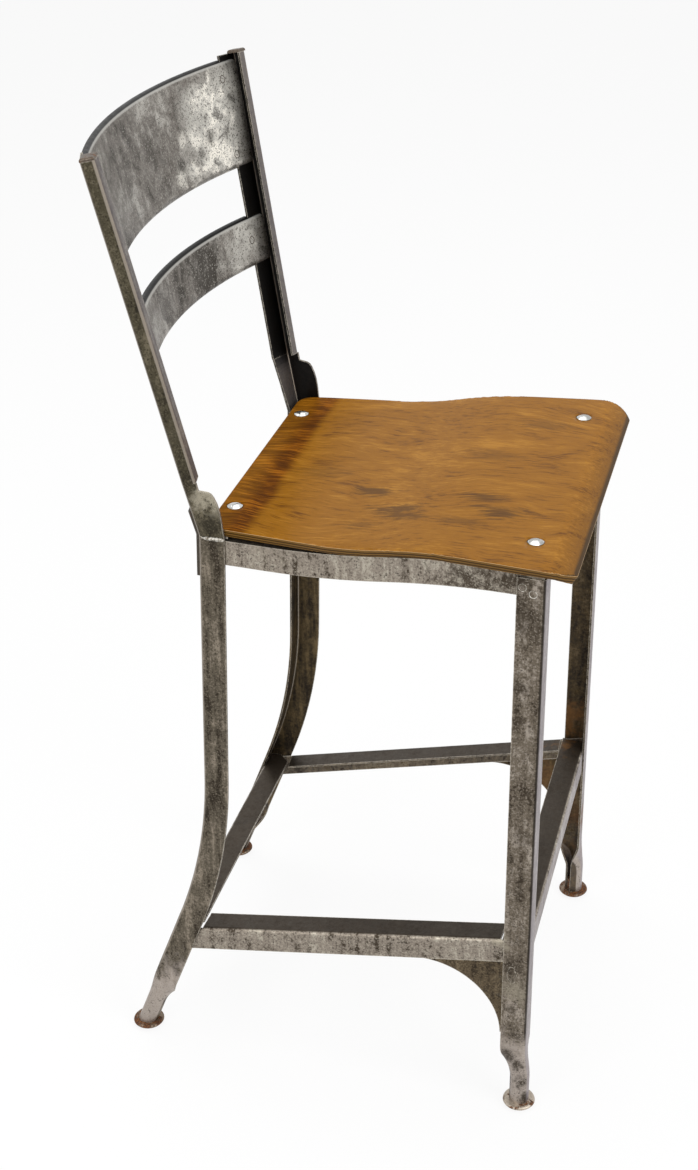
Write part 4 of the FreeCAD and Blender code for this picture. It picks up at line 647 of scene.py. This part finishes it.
def paint(obj, material):
    """Give every face of an object one material."""
    slots = obj.data.materials
    if len(slots):
        for index in range(len(slots)):
            slots[index] = material
    else:
        slots.append(material)


def dress(nodes, material):
    """Give each node of a list one material."""
    for name in nodes:
        paint(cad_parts[name], material)


def new_object(name, data):
    """Object in the scene with its mesh, lamp or camera."""
    made = bpy.data.objects.new(name, data)
    bpy.context.scene.collection.objects.link(made)
    return made


# Skew line that puts the parts of a mesh in the same order each run
ORDER_LINE = Vector((1, 0.617, 0.331))


def finish_mesh(work, name, material, sharp_degrees):
    """Turn a bmesh into a piece that rides on the stool."""
    work.verts.sort(key=lambda vert: vert.co.dot(ORDER_LINE))
    work.edges.sort(
        key=lambda edge: sum(vert.co.dot(ORDER_LINE) for vert in edge.verts))
    work.faces.sort(key=lambda face: face.calc_center_median().dot(ORDER_LINE))
    mesh = bpy.data.meshes.new(name)
    work.to_mesh(mesh)
    work.free()
    mesh.shade_smooth()
    mesh.set_sharp_from_angle(angle=math.radians(sharp_degrees))
    piece = new_object(name, mesh)
    paint(piece, material)
    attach(piece, BODY)
    return piece


# Thickness of the plywood, in mm
SEAT_THICKNESS = 8
# The seat's faces are cut into cells this wide, in mm, and relaxed so many times
SEAT_CELL = 6
SEAT_PASSES = 30
# Points this near, in mm, are one point, and this near to a cut lie on it
SAME_POINT = 0.01
ON_CUT = 0.001
# Upright share of the normal of a face that belongs to the broad faces
BROAD = 0.5


def seat_panel():
    """Seat with an even, relaxed mesh, which keeps at each point how deep it lies below
    the top face, for the plies."""
    work = bmesh.new()
    work.from_mesh(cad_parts["seat_panel"].data)
    bmesh.ops.remove_doubles(work, verts=work.verts, dist=SAME_POINT * MM)
    low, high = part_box("seat_panel")
    for axis in (Vector((1, 0, 0)), Vector((0, 1, 0))):
        first = int(axis.dot(Vector(low)) / MM) // SEAT_CELL + 1
        last = int(axis.dot(Vector(high)) / MM) // SEAT_CELL
        for count in range(first, last + 1):
            bmesh.ops.bisect_plane(
                work, geom=work.verts[:] + work.edges[:] + work.faces[:],
                dist=ON_CUT * MM, plane_co=axis * count * SEAT_CELL * MM, plane_no=axis)
    work.normal_update()
    broad = [vert for vert in work.verts
             if all(abs(face.normal.z) > BROAD for face in vert.link_faces)]
    for count in range(SEAT_PASSES):
        bmesh.ops.smooth_vert(work, verts=broad, factor=0.5, use_axis_x=True,
                              use_axis_y=True, use_axis_z=True)
    work.normal_update()
    shell = work.copy()
    under = [face for face in shell.faces if face.normal.z <= BROAD]
    bmesh.ops.delete(shell, geom=under, context="FACES")
    top = BVHTree.FromBMesh(shell)
    shell.free()
    layer = work.verts.layers.float.new("ply_depth")
    for vert in work.verts:
        vert[layer] = min(top.find_nearest(vert.co)[3] / (SEAT_THICKNESS * MM), 1.0)
    piece = finish_mesh(work, "seat_plywood",
                        varnished_birch("varnished_birch_plywood"), 30)
    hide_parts("seat_panel")
    return piece


# Sides of a ring's rim, and steps round it
RIM_SIDES = 8
RING_STEPS = 22


def ring(work, centre, normal, radius, rim):
    """Low round rim, as a spot weld leaves on sheet steel."""
    out = normal.orthogonal().normalized()
    turn = Matrix((out, normal, normal.cross(out) * -1)).transposed().to_4x4()
    rim_verts = bmesh.ops.create_circle(
        work, segments=RIM_SIDES, radius=rim,
        matrix=Matrix.Translation(centre + out * radius) @ turn)["verts"]
    rim_edges = list(dict.fromkeys(edge for vert in rim_verts
                                   for edge in vert.link_edges))
    bmesh.ops.spin(work, geom=rim_verts + rim_edges, cent=centre, axis=normal,
                   angle=FULL_TURN, steps=RING_STEPS, use_merge=True)


# Spot welds in mm: a place on the sheet and the way that the sheet faces there
LEG_WELDS = (((-174.1, -179.4, 590.6), (-1, 0.07, 0.01)),
             ((-174.9, -188.9, 585.4), (-1, 0.07, 0.01)))
SLAT_WELDS = (((-145.5, 155.3, 766.8), (0.30, -0.93, 0.21)),
              ((-162.8, 183.6, 918.9), (0.30, -0.93, 0.21)),
              ((-155.8, 170.2, 848.8), (0.30, -0.93, 0.21)))


def spot_welds(name, places, material):
    """Rings of the spot welds, alike on both sides."""
    work = bmesh.new()
    for place, way in places:
        for side in (1, -1):
            centre = Vector((place[0] * side, place[1], place[2])) * MM
            normal = Vector((way[0] * side, way[1], way[2])).normalized()
            ring(work, centre, normal, sizes().spot_radius, sizes().spot_rim)
    bmesh.ops.recalc_face_normals(work, faces=work.faces)
    return finish_mesh(work, name, material, 60)


# Sides and steps of a weld seam's tube
SEAM_SIDES = 12
SEAM_STEPS = 30
# Shares of the seam's radius: its tip, its thinnest, its body, its ripples' crests and
# their chance
SEAM_TIP = 0.4
SEAM_THIN = 0.35
SEAM_BODY = 0.82
SEAM_CREST = 0.22
SEAM_CHANCE = 0.12
# Steps from one ripple to the next, and how steeply the seam swells from its ends
RIPPLE_STEPS = 4
SEAM_SWELL = 5
# Points of the bead this near to its end, in mm, give the end's middle
BEAD_END = 2


def weld_seam(node, name, material, seed):
    """Rippled seam in the place of the plain bead."""
    verts = [vert.co.copy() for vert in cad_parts[node].data.vertices]
    ends = []
    for limit in (min(vert.y for vert in verts), max(vert.y for vert in verts)):
        close = [vert for vert in verts if abs(vert.y - limit) < BEAD_END * MM]
        ends.append(sum(close, Vector()) / len(close))
    start, stop = ends
    along = (stop - start) / SEAM_STEPS
    chance = random.Random(seed)
    radius = sizes().seam_radius
    turn = along.to_track_quat("Z", "Y").to_matrix().to_4x4()
    work = bmesh.new()
    bmesh.ops.create_circle(work, segments=SEAM_SIDES, radius=radius * SEAM_TIP,
                            cap_ends=True, matrix=Matrix.Translation(start) @ turn)
    edges = work.edges[:]
    size = SEAM_TIP
    centre = start.copy()
    for step in range(1, SEAM_STEPS + 1):
        made = bmesh.ops.extrude_edge_only(work, edges=edges)["geom"]
        rim = [item for item in made if isinstance(item, bmesh.types.BMVert)]
        edges = [item for item in made if isinstance(item, bmesh.types.BMEdge)]
        edges = [edge for edge in edges if all(vert in rim for vert in edge.verts)]
        bmesh.ops.translate(work, vec=along, verts=rim)
        centre += along
        share = step / SEAM_STEPS
        taper = min(1.0, SEAM_SWELL * (1 - share), SEAM_SWELL * share + SEAM_TIP)
        crest = abs(math.sin(step * math.pi / RIPPLE_STEPS))
        wanted = max(SEAM_THIN, taper * (SEAM_BODY + SEAM_CREST * crest
                                         + SEAM_CHANCE * chance.random()))
        bmesh.ops.scale(work, vec=(wanted / size,) * 3,
                        space=Matrix.Translation(-centre), verts=rim)
        size = wanted
    bmesh.ops.contextual_create(work, geom=edges)
    bmesh.ops.recalc_face_normals(work, faces=work.faces)
    piece = finish_mesh(work, name, material, 60)
    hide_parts(node)
    return piece


# Middle of the weld scar on a front leg, in mm, and the way the sheet faces there
SCAR_PLACE = (-178.6, -182.0, 169.0)
SCAR_WAY = (-1, 0.07, 0.01)
# Lumps of the scar: how much they stand out, how close they lie, and where the pattern
# starts
SCAR_LUMP = 0.22
LUMP_SCALE = 1.7
LUMP_START = 3.0
# Share of its rise that the scar is sunk into the leg
SCAR_SUNK = 0.3


def weld_scar(side, name, material):
    """Flat rough patch of weld on the side of a front leg."""
    work = bmesh.new()
    bmesh.ops.create_icosphere(work, subdivisions=4, radius=1)
    for vert in work.verts:
        place = vert.co * LUMP_SCALE + Vector((LUMP_START, side, 0))
        vert.co *= 1 + SCAR_LUMP * noise.fractal(place, 0.8, 2.0, 4)
    bmesh.ops.scale(work, vec=(sizes().scar_rise, sizes().scar_width / 2,
                               sizes().scar_height / 2), verts=work.verts)
    way = Vector((SCAR_WAY[0] * side, SCAR_WAY[1], SCAR_WAY[2])).normalized()
    turn = Matrix.Rotation(math.atan2(way.y, way.x), 3, "Z")
    bmesh.ops.rotate(work, cent=(0, 0, 0), matrix=turn, verts=work.verts)
    place = Vector((SCAR_PLACE[0] * side, SCAR_PLACE[1], SCAR_PLACE[2])) * MM
    bmesh.ops.translate(work, vec=place - way * sizes().scar_rise * SCAR_SUNK,
                        verts=work.verts)
    bmesh.ops.recalc_face_normals(work, faces=work.faces)
    return finish_mesh(work, name, material, 80)


class STOOL_OT_dress_frame(bpy.types.Operator):
    """Finish the legs, posts, rails, stretchers and gussets as bare pressed steel"""

    bl_idname = "stool.dress_frame"
    bl_label = "Finish the frame"

    def execute(self, context):
        dress(FRONT_LEG_NODES, pressed_steel(
            "waxed_leg_steel", "leg", 0.0, bend=0.85, flange_sheen=0.65))
        dress(REAR_LEG_NODES, pressed_steel(
            "waxed_rear_leg_steel", "rear", 5.3, bend=0.7, bend_shade="leg_light",
            streak=0.4, inside="rear_inner"))
        dress(POST_NODES, pressed_steel(
            "waxed_post_steel", "web", 1.3, hollow=1.0, level=(1, 0, 0), bend=0.7,
            bend_shade="leg_light", flange_sheen=0.3, inside="post_inner"))
        dress(RAIL_NODES, pressed_steel(
            "waxed_rail_steel", "rail", 2.1, upper=0.6, streak=0.35))
        dress(STRETCHER_NODES, pressed_steel(
            "waxed_stretcher_steel", "rail", 3.4, hollow=0.7, upper=0.95, flange_sheen=0.55))
        dress(GUSSET_NODES, pressed_steel("waxed_gusset_steel", "gusset", 4.2))
        return {"FINISHED"}


class STOOL_OT_dress_slats(bpy.types.Operator):
    """Finish the two back slats as clouded bright steel"""

    bl_idname = "stool.dress_slats"
    bl_label = "Finish the slats"

    def execute(self, context):
        dress(SLAT_NODES, clouded_steel("clouded_slat_steel"))
        return {"FINISHED"}


# Rusted fittings: nodes, finish, colour setting and how much of them rust covers
RUSTED_FITTINGS = ((CAP_NODES, "rusted_cap_steel", "cap", 0.25),
                   (STRAP_NODES, "rusted_strap_steel", "strap", 0.22),
                   (WORN_GLIDE_NODES, "worn_glide_steel", "foot_glide", 0.5),
                   (GLIDE_NODES, "rusted_glide_steel", "glide", 0.8),
                   (("seat_nuts",), "dull_nut_steel", "nut", 0.2))


class STOOL_OT_dress_fittings(bpy.types.Operator):
    """Finish the post caps, splice straps, glides, seat screws and nuts"""

    bl_idname = "stool.dress_fittings"
    bl_label = "Finish the fittings"

    def execute(self, context):
        for nodes, *finish in RUSTED_FITTINGS:
            dress(nodes, rusted_steel(*finish))
        dress(("seat_screws",), bright_plating("bright_screw_plating"))
        return {"FINISHED"}


class STOOL_OT_build_seat(bpy.types.Operator):
    """Make the varnished plywood seat with its plies"""

    bl_idname = "stool.build_seat"
    bl_label = "Make the seat"

    def execute(self, context):
        seat_panel()
        return {"FINISHED"}


class STOOL_OT_build_welds(bpy.types.Operator):
    """Make the weld seams, the weld scars and the spot weld rings"""

    bl_idname = "stool.build_welds"
    bl_label = "Make the welds"

    def execute(self, context):
        metal = weld_metal("brushed_weld_metal")
        weld_seam("right_weld_bead", "right_weld_seam", metal, 5)
        weld_seam("left_weld_bead", "left_weld_seam", metal, 6)
        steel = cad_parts["front_right_leg"].data.materials[0]
        weld_scar(1, "right_weld_scar", steel)
        weld_scar(-1, "left_weld_scar", steel)
        spot_welds("leg_weld_rings", LEG_WELDS, metal)
        spot_welds("slat_weld_rings", SLAT_WELDS,
                   rusted_steel("stained_ring_steel", "ring", 0.2))
        return {"FINISHED"}


# Camera: its place in mm, its heading from +X, fall and roll in degrees, its focal
# length in mm and how far it sees in metres
CAMERA_PLACE = (-1498.9, -401.98, 1341.6)
CAMERA_YAW = 15.789
CAMERA_FALL = 29.158
CAMERA_ROLL = -1.181
CAMERA_LENS = 55.863
CAMERA_REACH = 30

# Lamps: name, place and side in metres, power in watts
LAMPS = (("front_softbox", (-1.2, -2.6, 2.1), 1.8, 42),
         ("side_softbox", (-2.6, 0.9, 1.9), 1.8, 26),
         ("top_softbox", (0.6, 0.3, 3.0), 2.4, 34))
# Point that the lamps aim at, in metres
AIM = Vector((0, 0, 0.5))
# Strength of the world's light on the object, where 1 is white
WORLD_LIGHT = 0.5
# Share of plain white in the floor that the camera sees; the rest keeps the shadow
FLOOR_WHITE = 0.88


def camera():
    """Camera at the photograph's angle."""
    yaw = math.radians(CAMERA_YAW)
    fall = math.radians(CAMERA_FALL)
    roll = math.radians(CAMERA_ROLL)
    ahead = Vector((math.cos(fall) * math.cos(yaw), math.cos(fall) * math.sin(yaw),
                    -math.sin(fall)))
    right = Vector((math.sin(yaw), -math.cos(yaw), 0))
    up = right.cross(ahead)
    right, up = (right * math.cos(roll) + up * math.sin(roll),
                 up * math.cos(roll) - right * math.sin(roll))
    lens = bpy.data.cameras.new("studio_camera")
    lens.lens = CAMERA_LENS
    lens.clip_end = CAMERA_REACH
    made = new_object("studio_camera", lens)
    turn = Matrix((right, up, -ahead)).transposed().to_4x4()
    made.matrix_world = Matrix.Translation(Vector(CAMERA_PLACE) * MM) @ turn
    bpy.context.scene.camera = made


def lamp(name, place, side, power):
    """Square soft lamp that aims at the stool's middle."""
    light = bpy.data.lights.new(name, "AREA")
    light.shape = "SQUARE"
    light.size = side
    light.energy = power
    made = new_object(name, light)
    spot = Vector(place)
    turn = (AIM - spot).to_track_quat("-Z", "Y").to_matrix().to_4x4()
    made.matrix_world = Matrix.Translation(spot) @ turn


def seen_directly(node):
    """1 for rays from the camera, or through gloss or glass."""
    path = node("LightPath").outputs
    either = node("Math", (path["Is Camera Ray"], path["Is Glossy Ray"]),
                  operation="MAXIMUM")
    return node("Math", (either, path["Is Transmission Ray"]), operation="MAXIMUM")


def studio_world():
    """Backdrop that is plain white to the eye and in gloss, and a soft light else."""
    world = bpy.data.worlds.new("pale_studio")
    world.use_nodes = True
    world.node_tree.nodes.clear()
    node = partial(add, world.node_tree)
    strength = node("MapRange", {"Value": seen_directly(node), "To Min": WORLD_LIGHT,
                                 "To Max": 1.0})
    backdrop = node("Background", {"Color": hue("backdrop"), "Strength": strength})
    node("OutputWorld", (backdrop,))
    bpy.context.scene.world = world


def studio_floor():
    """Pale matt paper, nearly white to the eye, which keeps the stool's shadow."""
    work = bmesh.new()
    bmesh.ops.create_grid(work, x_segments=1, y_segments=1, size=sizes().floor_size / 2)
    mesh = bpy.data.meshes.new("studio_floor")
    work.to_mesh(mesh)
    work.free()
    floor = new_object("studio_floor", mesh)
    material, node, _ = blank_material("pale_paper")
    paper = node("BsdfDiffuse", {"Color": hue("floor")})
    glow = node("Emission", {"Color": hue("backdrop"), "Strength": 1.0})
    share = node("Math", (seen_directly(node), FLOOR_WHITE), operation="MULTIPLY")
    both = node("MixShader", (share, paper, glow))
    node("OutputMaterial", (both,))
    paint(floor, material)


class STOOL_OT_build_studio(bpy.types.Operator):
    """Set up the pale floor, the soft lamps, the backdrop and the camera"""

    bl_idname = "stool.build_studio"
    bl_label = "Set up the studio"

    def execute(self, context):
        context.scene.view_settings.view_transform = "Standard"
        studio_world()
        studio_floor()
        for settings in LAMPS:
            lamp(*settings)
        camera()
        return {"FINISHED"}


STEPS = (STOOL_OT_build_studio, STOOL_OT_dress_frame, STOOL_OT_dress_slats,
         STOOL_OT_dress_fittings, STOOL_OT_build_seat, STOOL_OT_build_welds)


class STOOL_PT_sidebar(bpy.types.Panel):
    """Steps and settings of the stool"""

    bl_idname = "STOOL_PT_sidebar"
    bl_label = "Counter stool"
    bl_space_type = "VIEW_3D"
    bl_region_type = "UI"
    bl_category = "Stool"

    def draw(self, context):
        for step in STEPS:
            self.layout.operator(step.bl_idname)
        for group in (context.scene.stool_sizes, context.scene.stool_colours):
            column = self.layout.column()
            for name in group.bl_rna.properties.keys():
                if name not in ("rna_type", "name"):
                    column.prop(group, name)


CLASSES = (StoolSizes, StoolColours, *STEPS, STOOL_PT_sidebar)


def register():
    """Add the stool's settings, operators and panel."""
    for item in CLASSES:
        bpy.utils.register_class(item)
    bpy.types.Scene.stool_sizes = bpy.props.PointerProperty(type=StoolSizes)
    bpy.types.Scene.stool_colours = bpy.props.PointerProperty(type=StoolColours)


def unregister():
    """Take them away again."""
    del bpy.types.Scene.stool_colours
    del bpy.types.Scene.stool_sizes
    for item in reversed(CLASSES):
        bpy.utils.unregister_class(item)


def main():
    """Dress the stool and set up the studio."""
    register()
    bpy.ops.stool.build_studio()
    bpy.ops.stool.dress_frame()
    bpy.ops.stool.dress_slats()
    bpy.ops.stool.dress_fittings()
    bpy.ops.stool.build_seat()
    bpy.ops.stool.build_welds()


if __name__ == "__main__":
    main()
